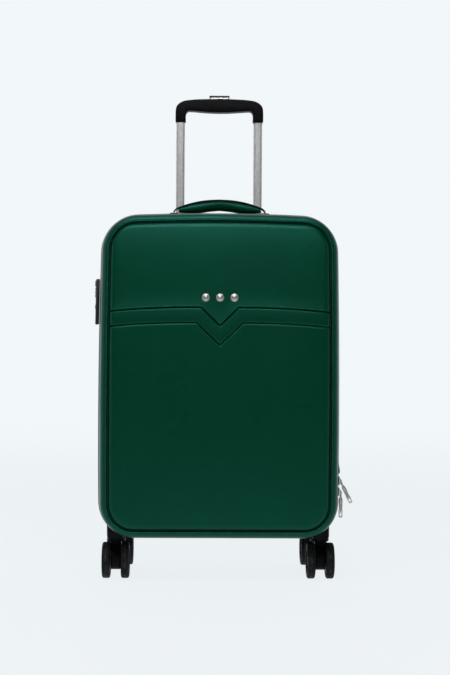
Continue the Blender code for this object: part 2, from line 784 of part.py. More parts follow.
def build_anchor(side, name):
    """A low plate on the case's top that one leg of the strap slides through."""
    middle = side * (STRAP_HALF - STRAP_T / 2)
    rings = []
    for rise, inset in ((0.0, 0.0), (ANCHOR_H * 0.6, 0.0), (ANCHOR_H, 0.0012)):
        ring = []
        for x, y in rounded(middle, 0.0, ANCHOR_X - 2 * inset, ANCHOR_Y - 2 * inset, 0.0035):
            ring.append((x, y, top_z(x, y, GAP) + 0.0001 + rise))
        rings.append(ring)
    plate = put("handle_anchor_" + name, "black_plastic", skin(rings), smooth=35)
    reach_x = STRAP_T / 2 + SLIDE_FIT
    reach_y = STRAP_W / 2 + SLIDE_FIT
    slot = box((middle - reach_x, -reach_y, STRAP_FOOT_Z), (middle + reach_x, reach_y, STRAP_TOP_Z))
    boolean(plate, put("cut_anchor_" + name, None, slot), "DIFFERENCE")


def lock_frame():
    """The lock's place: local X out of the case's side, local Z up along it."""
    y = LOCK_FRONT_Y + LOCK_D / 2
    low = Vector((-side_x(LOCK_LOW_Z, y), y, LOCK_LOW_Z))
    high = Vector((-side_x(LOCK_TOP_Z, y), y, LOCK_TOP_Z))
    front = Vector((-side_x(LOCK_LOW_Z, LOCK_FRONT_Y), LOCK_FRONT_Y, LOCK_LOW_Z))
    rear = Vector((-side_x(LOCK_LOW_Z, LOCK_FRONT_Y + LOCK_D), LOCK_FRONT_Y + LOCK_D, LOCK_LOW_Z))
    up = (high - low).normalized()
    along = (rear - front).normalized()
    out = along.cross(up).normalized()
    if out.x > 0:
        out = -out
    along = up.cross(out).normalized()
    middle = (low + high) / 2 + out * (GAP + 0.0005)
    place = Matrix((out, along, up)).transposed().to_4x4()
    return Matrix.Translation(middle) @ place


def placed(build, matrix):
    """Moves a bmesh by a matrix."""
    bmesh.ops.transform(build, matrix=matrix, verts=build.verts[:])
    return build


def build_lock():
    """A combination lock: body with dial windows and a button well, three dials and the button."""
    place = lock_frame()
    middle_z = (LOCK_LOW_Z + LOCK_TOP_Z) / 2
    half_z = (LOCK_TOP_Z - LOCK_LOW_Z) / 2
    half_y = LOCK_D / 2
    body = box((0.0, -half_y, -half_z), (LOCK_H, half_y, half_z))
    case = put("lock_case", "lock_plastic", placed(body, place))
    bevel(case, 0.0012, 2)
    well_low = half_z - 0.0118
    well = box((0.0012, -half_y + 0.0050, well_low), (LOCK_H + 0.01, half_y - 0.0050, half_z - 0.0022))
    boolean(case, put("cut_lock_button", None, placed(well, place)), "DIFFERENCE")
    for i in range(3):
        z = DIAL_TOP_Z - middle_z - DIAL_W / 2 - i * DIAL_PITCH
        reach = DIAL_W / 2 + GAP
        window = box((LOCK_SKIN, -DIAL_R - GAP, z - reach), (LOCK_H + 0.01, DIAL_R + GAP, z + reach))
        boolean(case, put(f"cut_dial_{i + 1}", None, placed(window, place)), "DIFFERENCE")
        centre = (LOCK_H + DIAL_PROUD - DIAL_R, 0.0, z)
        points = circle(centre[0], centre[1], DIAL_R, 20)
        axis_point = place @ Vector(centre)
        dial = placed(prism(points, z - DIAL_W / 2, z + DIAL_W / 2, "Z"), place)
        put(f"lock_dial_{i + 1}", "lock_plastic", dial, tuple(axis_point), smooth=35)
    fit = SLIDE_FIT
    low = (0.0036, -half_y + 0.0050 + fit, well_low + fit)
    high = (LOCK_H + 0.0014, half_y - 0.0050 - fit, half_z - 0.0022 - fit)
    button = put("lock_button", "lock_plastic", placed(box(low, high), place), tuple(place.translation))
    bevel(button, 0.0007, 1)


def build_slider(name, middle_z, length):
    """A zip slider: a plate over the teeth, two ears and a pin across them. Returns the pin's place."""
    x = side_x(middle_z, ZIP_Y, 0.0002 + GAP)
    half_d = SLIDER_D / 2
    plate = [
        (-half_d, middle_z + length / 2),
        (-half_d * 0.62, middle_z - length / 2),
        (half_d * 0.62, middle_z - length / 2),
        (half_d, middle_z + length / 2),
    ]
    points = [(ZIP_Y + a, b) for a, b in plate]
    slider = put(name, "steel", prism(points, x, x + SLIDER_H, "X"), smooth=35)
    pin_x = x + SLIDER_H + PULL_EYE_R + 0.0002
    pin_z = middle_z - 0.0018
    ear = [
        (x + SLIDER_H - 0.0006, pin_z - 0.0016),
        (pin_x + 0.0006, pin_z - 0.0016),
        (pin_x + 0.0016, pin_z),
        (pin_x + 0.0008, pin_z + 0.0018),
        (x + SLIDER_H - 0.0006, pin_z + 0.0042),
    ]
    for side, part in ((-1, "front"), (1, "rear")):
        near = ZIP_Y + side * (PULL_T / 2 + GAP)
        far = near + side * 0.0010
        ends = sorted((near, far))
        boolean(slider, put(f"join_{name}_{part}", None, prism(ear, *ends, "Y")), "UNION")
    reach = PULL_T / 2 + GAP + 0.0005
    pin = prism(circle(pin_x, pin_z, PIN_R, 10), ZIP_Y - reach, ZIP_Y + reach, "Y")
    boolean(slider, put(f"join_{name}_pin", None, pin), "UNION")
    return (pin_x, ZIP_Y, pin_z)


def build_pull(name, pin, length, tilt):
    """A zip pull that hangs from the slider's pin and can be swung out by a tilt."""
    neck = 0.0016
    shoulder = 0.0075
    half = PULL_W / 2
    points = [
        (-neck, -0.0012),
        (-neck, 0.0008),
        (-0.0009, 0.0015),
        (0.0009, 0.0015),
        (neck, 0.0008),
        (neck, -0.0012),
        (neck, -shoulder + 0.0015),
        (half, -shoulder),
        (half, -length + 0.0015),
        (half - 0.0012, -length),
        (-half + 0.0012, -length),
        (-half, -length + 0.0015),
        (-half, -shoulder),
        (-neck, -shoulder + 0.0015),
    ]
    place = Matrix.Translation(pin) @ Matrix.Rotation(-tilt, 4, "Y")
    half_t = PULL_T / 2
    body = placed(prism(points, -half_t, half_t, "Y"), place)
    pull = put(name, "steel", body, pin, smooth=35)
    eye = placed(prism(circle(0.0, 0.0, PULL_HOLE_R, 10), -0.01, 0.01, "Y"), place)
    boolean(pull, put("cut_eye_" + name, None, eye), "DIFFERENCE")
    window = box((-half + 0.0012, -0.01, -length + 0.0018), (half - 0.0012, 0.01, -length + 0.0068))
    boolean(pull, put("cut_ring_" + name, None, placed(window, place)), "DIFFERENCE")


def build_sliders():
    pin = build_slider("upper_slider", UPPER_SLIDER_Z, UPPER_SLIDER_L)
    build_pull("upper_pull", pin, UPPER_PULL_L, UPPER_PULL_TILT)
    pin = build_slider("lower_slider", LOWER_SLIDER_Z, LOWER_SLIDER_L)
    build_pull("lower_pull", pin, LOWER_PULL_L, 0.0)


def mount_section(side, y, shrink):
    """A caster mount's section at one depth: its upper edge follows the case's rounded corner."""
    core_x = CASE_HALF_W - CORNER_R
    core_z = CASE_BASE_Z + CORNER_R
    reach = CORNER_R + swell(y) + GAP
    points = []
    for step in range(7):
        angle = math.radians(MOUNT_FROM_DEG + 5.0 * shrink + (MOUNT_SPAN_DEG - 8.0 * shrink) * step / 6)
        x, z = bent(core_x + reach * math.sin(angle), core_z - reach * math.cos(angle), y)
        points.append((x, z - GAP))
    last_x = points[-1][0]
    first_x = points[0][0]
    points.append((last_x, MOUNT_Z + 0.0030))
    points.append((last_x - 0.0030, MOUNT_Z))
    points.append((first_x + 0.0015, MOUNT_Z))
    points.append((first_x, MOUNT_Z + 0.0012))
    return [(side * x, y, z) for x, z in points]


def build_caster(name, side, axis_y, trail):
    """One caster: mount, fork with swivel disc and stem, axle and two wheels."""
    sections = []
    for share, shrink in ((-1.0, 1.0), (-0.86, 0.2), (-0.3, 0.0), (0.3, 0.0), (0.86, 0.2), (1.0, 1.0)):
        sections.append(mount_section(side, axis_y + share * MOUNT_HALF_Y, shrink))
    x = side * CASTER_X
    mount = put("caster_mount_" + name, "black_plastic", skin(sections), smooth=35)
    hole = prism(circle(x, axis_y, STEM_R + RUN_FIT, 16), MOUNT_Z - 0.01, STEM_TOP_Z + GAP, "Z")
    boolean(mount, put("cut_stem_" + name, None, hole), "DIFFERENCE")
    build_fork(name, x, axis_y, trail)
    axle_y = axis_y + trail
    origin = (x, axle_y, WHEEL_R)
    reach = FORK_HALF + WHEEL_CLEAR + WHEEL_W - 0.0018
    axle = prism(circle(axle_y, WHEEL_R, AXLE_R, 12), x - reach, x + reach, "X")
    put("axle_" + name, "steel", axle, origin, smooth=35)
    for way, part in ((-1, "a"), (1, "b")):
        build_wheel(f"wheel_{name}_{part}", x, axle_y, way)


def drum_turn(point):
    """Where a point of the drum comes in the fork's outline, as a falling angle."""
    turn = math.atan2(point[1], point[0])
    return turn if point[1] < 0 or point[0] > 0 else turn - 2 * math.pi


def build_fork(name, x, axis_y, trail):
    """The swivelling fork: a disc and stem above a neck that ends in the hub drum."""
    axle_y = axis_y + trail
    lean = math.copysign(1.0, trail)
    drum = []
    for a, b in circle(0.0, 0.0, HUB_R, 20, start=math.radians(9)):
        if b < 0.35 * HUB_R or a > 0.55 * HUB_R:
            drum.append((a, b))
    drum.sort(key=drum_turn)
    upper = [(-TRAIL + 0.0115, DISC_Z + 0.0010 - WHEEL_R), (-TRAIL - 0.0105, DISC_Z + 0.0010 - WHEEL_R)]
    points = [(axle_y + lean * a, WHEEL_R + b) for a, b in drum + upper]
    neck = prism(points, x - FORK_HALF, x + FORK_HALF, "X")
    fork = put("caster_fork_" + name, "black_plastic", neck, (x, axis_y, WHEEL_R), smooth=35)
    top = MOUNT_Z - GAP
    rings = []
    for radius, z in (
        (DISC_R - 0.0010, DISC_Z),
        (DISC_R, DISC_Z + 0.0010),
        (DISC_R, top),
        (STEM_R, top),
        (STEM_R, STEM_TOP_Z),
    ):
        rings.append([(a, b, z) for a, b in circle(x, axis_y, radius, 16)])
    boolean(fork, put("join_disc_" + name, None, skin(rings)), "UNION")
    bore = prism(circle(axle_y, WHEEL_R, AXLE_R + RUN_FIT, 12), x - 0.03, x + 0.03, "X")
    boolean(fork, put("cut_bore_" + name, None, bore), "DIFFERENCE")


def build_wheel(name, x, axle_y, way):
    """One wheel of a twin, turned round the axle."""
    inner = FORK_HALF + WHEEL_CLEAR
    outer = inner + WHEEL_W
    bore = AXLE_R + RUN_FIT
    profile = [
        (inner, bore),
        (inner, WHEEL_R - 0.0028),
        (inner + 0.0018, WHEEL_R),
        (outer - 0.0020, WHEEL_R),
        (outer, WHEEL_R - 0.0030),
        (outer, WHEEL_R - 0.0070),
        (outer - 0.0012, WHEEL_R - 0.0085),
        (outer - 0.0012, bore),
    ]
    profile = [(way * along, radius) for along, radius in profile]
    centre = (x, axle_y, WHEEL_R)
    put(name, "wheel_rubber", turned(profile, centre, "X", WHEEL_SEGMENTS), centre, smooth=35)


def build_casters():
    for side, name in ((-1, "left"), (1, "right")):
        build_caster("front_" + name, side, CASTER_FRONT_Y, -TRAIL)
        build_caster("rear_" + name, side, CASTER_REAR_Y, TRAIL)


def build_packing_strap():
    """A strap across the inside with its buckle, in front of the rear lining."""
    y = LINING_Y - 0.0004
    reach = side_x(PACK_STRAP_Z, y, -WALL) - 0.0010
    low = (-reach, y - PACK_STRAP_T, PACK_STRAP_Z - PACK_STRAP_W / 2)
    high = (reach, y, PACK_STRAP_Z + PACK_STRAP_W / 2)
    put("packing_strap", "zip_tape", box(low, high))
    front = y - PACK_STRAP_T - GAP
    low = (-BUCKLE_W / 2, front - BUCKLE_T, PACK_STRAP_Z - BUCKLE_H / 2)
    high = (BUCKLE_W / 2, front, PACK_STRAP_Z + BUCKLE_H / 2)
    buckle = put("strap_buckle", "black_plastic", box(low, high))
    bevel(buckle, 0.0015, 2)


def main():
    clear_scene()
    build_side_band()
    build_lid_band()
    build_rear_panel()
    build_boards()
    build_piping()
    build_zip()
    build_front_panel("upper_panel", "upper", 0.0)
    build_front_panel("chevron_panel", "chevron", BAND_PROUD)
    build_front_panel("lower_panel", "lower", 0.0)
    build_studs()
    build_tubes()
    build_grip()
    build_cup()
    build_carry_handle()
    build_lock()
    build_sliders()
    build_casters()
    build_packing_strap()


main()
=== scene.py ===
"""Looks of an upright cabin suitcase in padded leatherette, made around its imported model.

Metres, +Z up, front at -Y, floor at z = 0. Each class holds one sub-assembly's sizes, and makes and
dresses it.
"""

import json
import logging
import math
from collections.abc import Callable, Iterable, Sequence
from dataclasses import dataclass, field, replace
from enum import Enum
from itertools import pairwise

import bmesh
import bpy
from mathutils import Matrix, Vector, noise
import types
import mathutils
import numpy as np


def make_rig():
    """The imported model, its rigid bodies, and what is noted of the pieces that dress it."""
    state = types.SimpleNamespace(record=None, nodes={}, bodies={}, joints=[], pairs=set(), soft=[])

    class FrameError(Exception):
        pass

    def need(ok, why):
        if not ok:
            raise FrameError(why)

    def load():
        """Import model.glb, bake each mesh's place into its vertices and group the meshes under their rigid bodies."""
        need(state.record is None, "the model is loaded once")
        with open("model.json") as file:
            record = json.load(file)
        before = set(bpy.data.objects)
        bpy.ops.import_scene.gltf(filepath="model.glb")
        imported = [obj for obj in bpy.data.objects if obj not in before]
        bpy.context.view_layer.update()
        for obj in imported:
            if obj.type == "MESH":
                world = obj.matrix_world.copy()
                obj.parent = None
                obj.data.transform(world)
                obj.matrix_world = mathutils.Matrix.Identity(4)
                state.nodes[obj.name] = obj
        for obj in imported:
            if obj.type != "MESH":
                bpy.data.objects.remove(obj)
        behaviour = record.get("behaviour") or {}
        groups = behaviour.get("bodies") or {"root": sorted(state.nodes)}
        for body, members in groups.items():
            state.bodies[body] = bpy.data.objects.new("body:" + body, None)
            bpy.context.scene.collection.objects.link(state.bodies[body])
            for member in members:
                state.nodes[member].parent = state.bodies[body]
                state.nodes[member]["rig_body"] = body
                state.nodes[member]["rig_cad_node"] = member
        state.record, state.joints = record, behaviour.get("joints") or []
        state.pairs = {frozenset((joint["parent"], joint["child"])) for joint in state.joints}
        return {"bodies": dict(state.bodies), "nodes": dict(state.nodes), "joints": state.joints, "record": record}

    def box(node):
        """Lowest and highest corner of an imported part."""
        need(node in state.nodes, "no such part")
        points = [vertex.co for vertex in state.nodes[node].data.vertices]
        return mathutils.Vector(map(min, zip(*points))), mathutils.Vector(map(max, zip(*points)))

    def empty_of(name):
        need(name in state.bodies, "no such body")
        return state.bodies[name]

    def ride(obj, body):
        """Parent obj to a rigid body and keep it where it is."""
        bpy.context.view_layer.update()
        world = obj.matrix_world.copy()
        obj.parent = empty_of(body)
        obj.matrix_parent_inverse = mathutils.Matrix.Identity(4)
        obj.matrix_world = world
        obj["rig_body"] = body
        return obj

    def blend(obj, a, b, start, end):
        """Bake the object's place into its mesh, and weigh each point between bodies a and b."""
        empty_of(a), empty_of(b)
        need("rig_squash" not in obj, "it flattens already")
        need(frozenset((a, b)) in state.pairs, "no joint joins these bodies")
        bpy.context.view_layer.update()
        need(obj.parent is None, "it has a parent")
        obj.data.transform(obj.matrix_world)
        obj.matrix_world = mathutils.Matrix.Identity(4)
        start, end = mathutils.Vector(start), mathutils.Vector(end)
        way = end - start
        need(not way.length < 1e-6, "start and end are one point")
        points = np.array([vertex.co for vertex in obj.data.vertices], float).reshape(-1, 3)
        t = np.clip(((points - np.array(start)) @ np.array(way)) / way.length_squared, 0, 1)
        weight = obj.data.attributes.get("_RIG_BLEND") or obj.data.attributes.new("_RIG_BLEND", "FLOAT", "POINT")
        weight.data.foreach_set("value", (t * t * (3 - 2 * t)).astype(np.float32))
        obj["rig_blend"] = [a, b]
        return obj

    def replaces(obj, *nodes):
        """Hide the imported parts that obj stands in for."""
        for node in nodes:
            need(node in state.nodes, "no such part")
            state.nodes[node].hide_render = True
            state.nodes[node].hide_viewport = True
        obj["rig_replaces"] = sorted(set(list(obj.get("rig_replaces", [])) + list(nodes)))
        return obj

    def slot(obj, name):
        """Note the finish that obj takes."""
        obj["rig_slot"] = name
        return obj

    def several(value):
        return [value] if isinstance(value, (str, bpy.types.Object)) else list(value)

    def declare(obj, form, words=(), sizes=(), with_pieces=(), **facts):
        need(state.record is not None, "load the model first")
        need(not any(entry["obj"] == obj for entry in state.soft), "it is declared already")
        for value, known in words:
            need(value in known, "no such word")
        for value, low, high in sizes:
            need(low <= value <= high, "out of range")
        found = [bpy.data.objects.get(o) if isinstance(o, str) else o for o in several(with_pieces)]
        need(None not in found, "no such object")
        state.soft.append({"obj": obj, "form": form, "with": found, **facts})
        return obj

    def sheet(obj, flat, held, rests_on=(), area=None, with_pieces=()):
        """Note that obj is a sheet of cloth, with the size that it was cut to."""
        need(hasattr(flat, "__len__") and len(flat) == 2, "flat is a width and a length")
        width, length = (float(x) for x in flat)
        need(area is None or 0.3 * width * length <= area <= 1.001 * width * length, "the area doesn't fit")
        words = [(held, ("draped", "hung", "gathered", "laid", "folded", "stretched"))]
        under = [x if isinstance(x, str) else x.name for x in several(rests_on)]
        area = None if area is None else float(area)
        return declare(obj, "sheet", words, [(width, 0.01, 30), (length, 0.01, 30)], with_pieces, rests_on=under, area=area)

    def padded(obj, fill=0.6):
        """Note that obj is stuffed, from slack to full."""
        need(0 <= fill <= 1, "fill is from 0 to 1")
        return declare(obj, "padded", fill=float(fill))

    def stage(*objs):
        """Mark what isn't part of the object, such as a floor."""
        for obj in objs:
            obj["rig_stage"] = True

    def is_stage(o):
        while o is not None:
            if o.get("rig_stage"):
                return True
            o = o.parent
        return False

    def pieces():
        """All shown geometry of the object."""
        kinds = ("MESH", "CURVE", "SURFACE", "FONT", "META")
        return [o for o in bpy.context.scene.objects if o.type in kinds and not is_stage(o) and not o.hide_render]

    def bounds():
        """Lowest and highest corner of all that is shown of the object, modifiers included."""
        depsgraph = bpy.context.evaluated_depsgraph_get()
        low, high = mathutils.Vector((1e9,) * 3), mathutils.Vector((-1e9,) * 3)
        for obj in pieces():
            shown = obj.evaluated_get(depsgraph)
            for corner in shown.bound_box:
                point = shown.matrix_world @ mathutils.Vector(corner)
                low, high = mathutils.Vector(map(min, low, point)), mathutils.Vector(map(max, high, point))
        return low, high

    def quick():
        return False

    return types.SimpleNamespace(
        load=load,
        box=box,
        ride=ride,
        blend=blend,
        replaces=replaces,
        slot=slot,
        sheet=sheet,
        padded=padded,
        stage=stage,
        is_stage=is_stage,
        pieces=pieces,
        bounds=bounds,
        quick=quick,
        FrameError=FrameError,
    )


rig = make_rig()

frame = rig.load()
CAD_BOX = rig.bounds()

Point = Sequence[float]
Ring = list[Point]
Station = tuple[float, float, float, float]
Colour = tuple[float, float, float]
HeightAt = Callable[[float], float]
Socket = bpy.types.NodeSocket
Piece = bpy.types.Object
Build = bmesh.types.BMesh

LOG = logging.getLogger("cabin_case")
GAP = 0.0003
SIDES = ((-1, "left"), (1, "right"))
SIZE_FILE = "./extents.json"
SEED = 7


# ---------------------------------------------------------------- finishes


class Grain(Enum):
    """The fine figure that a finish carries."""

    HIDE = "hide"
    WEAVE = "weave"
    BRUSHED = "brushed"
    MOULDED = "moulded"
    TWIST = "twist"


class Board:
    """One material's node tree, with short calls that wire it."""

    def __init__(self, name: str) -> None:
        """Starts the material with its Principled shader."""
        self.material = bpy.data.materials.new(name)
        self.material.use_nodes = True
        self.tree = self.material.node_tree
        self.shader = self.tree.nodes["Principled BSDF"]

    def node(self, kind: str, inputs: dict, out: int | str = 0, **settings: object) -> Socket:
        """Adds a node.

        Args:
            kind: the node's type.
            inputs: values or sockets, by the name or index of the input that takes them.
            out: the output that is wanted.
            settings: the node's own properties.

        Returns:
            The wanted output.
        """
        made = self.tree.nodes.new(kind)
        for name, value in settings.items():
            setattr(made, name, value)
        for name, value in inputs.items():
            self.feed(made.inputs[name], value)
        return made.outputs[out]

    def feed(self, socket: Socket, value: object) -> None:
        """Links a socket, or sets its value."""
        if isinstance(value, Socket):
            self.tree.links.new(value, socket)
        else:
            socket.default_value = value

    def place(self, on_cloth: bool, stretch: Point = (1.0, 1.0, 1.0)) -> Socket:
        """Where a point lies: on the object, or on the piece's own unrolled cloth."""
        if on_cloth:
            where = self.node("ShaderNodeUVMap", {}, uv_map="lie")
        else:
            where = self.node("ShaderNodeTexCoord", {}, "Object")
        return self.node("ShaderNodeMapping", {"Vector": where, "Scale": stretch})

    def cloud(self, where: Socket, size: float, detail: float = 3.0) -> Socket:
        """Soft noise whose blotches are about this size."""
        return self.node("ShaderNodeTexNoise", {"Vector": where, "Scale": 1.0 / size, "Detail": detail})

    def sum(self, operation: str, one: object, two: object) -> Socket:
        """One sum of two numbers, kept between 0 and 1."""
        return self.node("ShaderNodeMath", {0: one, 1: two}, operation=operation, use_clamp=True)

    def span(self, value: object, low: float, high: float, start: float = 0.0, end: float = 1.0):
        """Carries a value from one range into another, smoothly."""
        inputs = {"Value": value, "From Min": start, "From Max": end, "To Min": low, "To Max": high}
        return self.node("ShaderNodeMapRange", inputs, interpolation_type="SMOOTHSTEP")

    def blend(self, share: object, one: object, two: object) -> Socket:
        """Mixes two colours."""
        pair = [value if isinstance(value, Socket) else (*value, 1.0) for value in (one, two)]
        return self.node("ShaderNodeMix", {0: share, 6: pair[0], 7: pair[1]}, 2, data_type="RGBA")


@dataclass(frozen=True)
class Finish:
    """A surface: its colours, its gloss and the figure of its grain."""

    name: str
    slot: str
    colour: Colour
    shade: Colour
    roughness: tuple[float, float]
    grain: Grain
    grain_size: float
    grain_depth: float
    metallic: float = 0.0
    sheen: float = 0.0
    coat: float = 0.0
    specular: float = 0.5
    tint: Colour = (1.0, 1.0, 1.0)
    worn: Colour = (0.2, 0.2, 0.2)
    wear: float = 0.0
    on_cloth: bool = False
    blotch: float = 0.07

    def figure(self, board: Board, where: Socket) -> Socket:
        """The grain's height, from 0 to 1.

        Args:
            board: the material that is being wired.
            where: the place on the piece.

        Returns:
            The height.
        """
        scale = 1.0 / self.grain_size
        if self.grain is Grain.HIDE:
            drift = board.node("ShaderNodeTexNoise", {"Vector": where, "Scale": scale * 0.45}, "Color")
            bent = board.node("ShaderNodeVectorMath", {0: drift, "Scale": self.grain_size * 0.9},
                              operation="SCALE")
            place = board.node("ShaderNodeVectorMath", {0: where, 1: bent}, operation="ADD")
            inputs = {"Vector": place, "Scale": scale}
            pebble = board.node("ShaderNodeTexVoronoi", inputs, feature="DISTANCE_TO_EDGE")
            domed = board.span(pebble, 0.0, 0.85, 0.0, 0.3)
            pores = board.sum("MULTIPLY", board.cloud(where, self.grain_size / 4), 0.18)
            return board.sum("ADD", domed, pores)
        if self.grain is Grain.WEAVE:
            parts = board.node("ShaderNodeSeparateXYZ", {0: where}, 0)
            other = parts.node.outputs[1 if self.on_cloth else 2]
            waves = [board.node("ShaderNodeMath", {0: p, 1: scale * math.pi}, operation="MULTIPLY")
                     for p in (parts, other)]
            sines = [board.node("ShaderNodeMath", {0: w}, operation="SINE") for w in waves]
            cross = board.node("ShaderNodeMath", {0: sines[0], 1: sines[1]}, operation="MULTIPLY")
            thread = board.node("ShaderNodeMath", {0: cross}, operation="ABSOLUTE")
            fade = board.span(board.cloud(where, self.grain_size / 3), 0.7, 1.0)
            return board.sum("MULTIPLY", thread, fade)
        if self.grain is Grain.TWIST:
            inputs = {"Vector": where, "Scale": scale, "Distortion": 1.5}
            return board.node("ShaderNodeTexWave", inputs, 1, bands_direction="DIAGONAL")
        if self.grain is Grain.BRUSHED:
            long = board.node("ShaderNodeMapping", {"Vector": where, "Scale": (1.0, 1.0, 0.02)})
            return board.cloud(long, self.grain_size)
        return board.cloud(where, self.grain_size, 5.0)

    def material(self) -> bpy.types.Material:
        """The finish as a material, made once.

        Returns:
            The material, with colour, roughness and bump from its own nodes.
        """
        known = bpy.data.materials.get(self.name)
        if known:
            return known
        board = Board(self.name)
        where = board.place(self.on_cloth)
        height = self.figure(board, where)
        blotch = board.cloud(board.place(False), self.blotch)
        tone = board.blend(board.span(blotch, 0.0, 1.0, 0.3, 0.7), self.colour, self.shade)
        # The grain's low places are mixed towards a darker colour: painted shade in the hollows between pebbles and
        # threads.
        grain_pit_shade = tuple(value * 0.45 for value in self.shade)
        pit_shaded_tone = board.blend(board.span(height, 0.0, 0.5, 0.35, 0.0), tone, grain_pit_shade)
        edge = board.node("ShaderNodeAttribute", {}, "Fac", attribute_name="edge")
        patches = board.span(board.cloud(board.place(False), 0.006), 0.0, self.wear, 0.35, 0.7)
        rubbed = board.sum("MULTIPLY", edge, patches)
        shader = board.shader
        board.feed(shader.inputs["Base Color"], board.blend(rubbed, pit_shaded_tone, self.worn))
        uneven = board.sum("MULTIPLY", board.span(blotch, 0.6, 1.0, 0.25, 0.75), board.span(height, 1.0, 0.8))
        board.feed(shader.inputs["Roughness"], board.span(uneven, *self.roughness, 0.45, 1.0))
        bump = {"Height": height, "Distance": self.grain_depth, "Strength": 1.0}
        board.feed(shader.inputs["Normal"], board.node("ShaderNodeBump", bump))
        shader.inputs["Metallic"].default_value = self.metallic
        shader.inputs["Specular IOR Level"].default_value = self.specular
        shader.inputs["Specular Tint"].default_value = (*self.tint, 1.0)
        shader.inputs["Sheen Weight"].default_value = self.sheen
        shader.inputs["Sheen Roughness"].default_value = 0.4
        shader.inputs["Coat Weight"].default_value = self.coat
        shader.inputs["Coat Roughness"].default_value = 0.25
        return board.material


SEA_TINT = (0.16, 1.0, 0.84)
LEATHER = Finish("green_leatherette", "leatherette", (0.0001, 0.04, 0.0145), (0.0001, 0.036, 0.013),
                 (0.27, 0.37), Grain.HIDE, 0.0011, 0.00007, specular=0.42, tint=SEA_TINT,
                 worn=(0.01, 0.13, 0.09), wear=0.3)
BAND_LEATHER = Finish("green_border_leatherette", "leatherette", (0.0002, 0.037, 0.016),
                      (0.0001, 0.032, 0.014), (0.27, 0.38), Grain.HIDE, 0.0011, 0.00008, specular=0.45,
                      tint=SEA_TINT, worn=(0.012, 0.15, 0.11), wear=0.35)
# The piping cord is real; its colour, darker than the panels beside it, is painted shade for the groove that it lies
# in.
PIPING = Finish("green_piping", "edge_trim", (0.0004, 0.03, 0.015), (0.0002, 0.022, 0.011),
                (0.42, 0.55), Grain.HIDE, 0.0008, 0.00006, tint=SEA_TINT, worn=(0.01, 0.08, 0.05), wear=0.3)
THREAD = Finish("green_thread", "leatherette", (0.004, 0.075, 0.05), (0.003, 0.055, 0.037),
                (0.55, 0.7), Grain.TWIST, 0.0004, 0.00008, sheen=0.3)
TAPE = Finish("zip_tape_cloth", "zip_tape", (0.002, 0.014, 0.01), (0.001, 0.01, 0.007),
              (0.85, 0.95), Grain.WEAVE, 0.0007, 0.00015, specular=0.08, on_cloth=True)
TEETH = Finish("zip_teeth", "zip_tape", (0.055, 0.105, 0.088), (0.035, 0.075, 0.062),
               (0.3, 0.42), Grain.MOULDED, 0.0008, 0.00003, specular=0.6)
WEBBING = Finish("black_webbing", "zip_tape", (0.016, 0.018, 0.019), (0.01, 0.011, 0.012),
                 (0.7, 0.85), Grain.WEAVE, 0.0013, 0.0003, sheen=0.3, on_cloth=True)
NICKEL = Finish("polished_nickel", "steel", (0.62, 0.61, 0.58), (0.52, 0.51, 0.49),
                (0.26, 0.4), Grain.BRUSHED, 0.0006, 0.00001, metallic=0.85, worn=(0.75, 0.74, 0.72),
                wear=0.4)
ANODISED = Finish("satin_anodised_tube", "tube", (0.46, 0.46, 0.45), (0.43, 0.43, 0.42),
                  (0.34, 0.46), Grain.BRUSHED, 0.00045, 0.00002, metallic=0.45, worn=(0.7, 0.7, 0.7),
                  wear=0.3)
PLASTIC = Finish("black_satin_plastic", "black_plastic", (0.003, 0.003, 0.0042), (0.0022, 0.0022, 0.0032),
                 (0.36, 0.48), Grain.MOULDED, 0.0009, 0.00004, specular=0.07, worn=(0.02, 0.02, 0.023),
                 wear=0.3)
LOCK_PLASTIC = Finish("lock_plastic", "lock_plastic", (0.0035, 0.0065, 0.006), (0.0025, 0.005, 0.0045),
                      (0.38, 0.5), Grain.MOULDED, 0.0007, 0.00003, specular=0.12, worn=(0.05, 0.06, 0.06),
                      wear=0.3)
NUMERAL = Finish("dial_numeral", "lock_plastic", (0.62, 0.62, 0.58), (0.55, 0.55, 0.52),
                 (0.45, 0.55), Grain.MOULDED, 0.0007, 0.00001)
RUBBER = Finish("black_tyre", "wheel_rubber", (0.0062, 0.0065, 0.0075), (0.0048, 0.005, 0.0058),
                (0.55, 0.72), Grain.MOULDED, 0.0011, 0.00006, specular=0.1, worn=(0.05, 0.05, 0.048),
                wear=0.5)
LINING = Finish("grey_lining", "lining", (0.03, 0.034, 0.036), (0.022, 0.025, 0.027),
                (0.75, 0.9), Grain.WEAVE, 0.001, 0.0002, sheen=0.4)
BUTTON = Finish("smoked_button", "button", (0.035, 0.048, 0.06), (0.028, 0.04, 0.052),
                (0.22, 0.34), Grain.MOULDED, 0.0008, 0.00002, metallic=0.3, coat=0.4)
STEEL_PIN = Finish("turned_steel", "steel", (0.45, 0.44, 0.43), (0.36, 0.35, 0.34),
                   (0.25, 0.38), Grain.BRUSHED, 0.0004, 0.00001, metallic=1.0)


# ---------------------------------------------------------------- mesh making


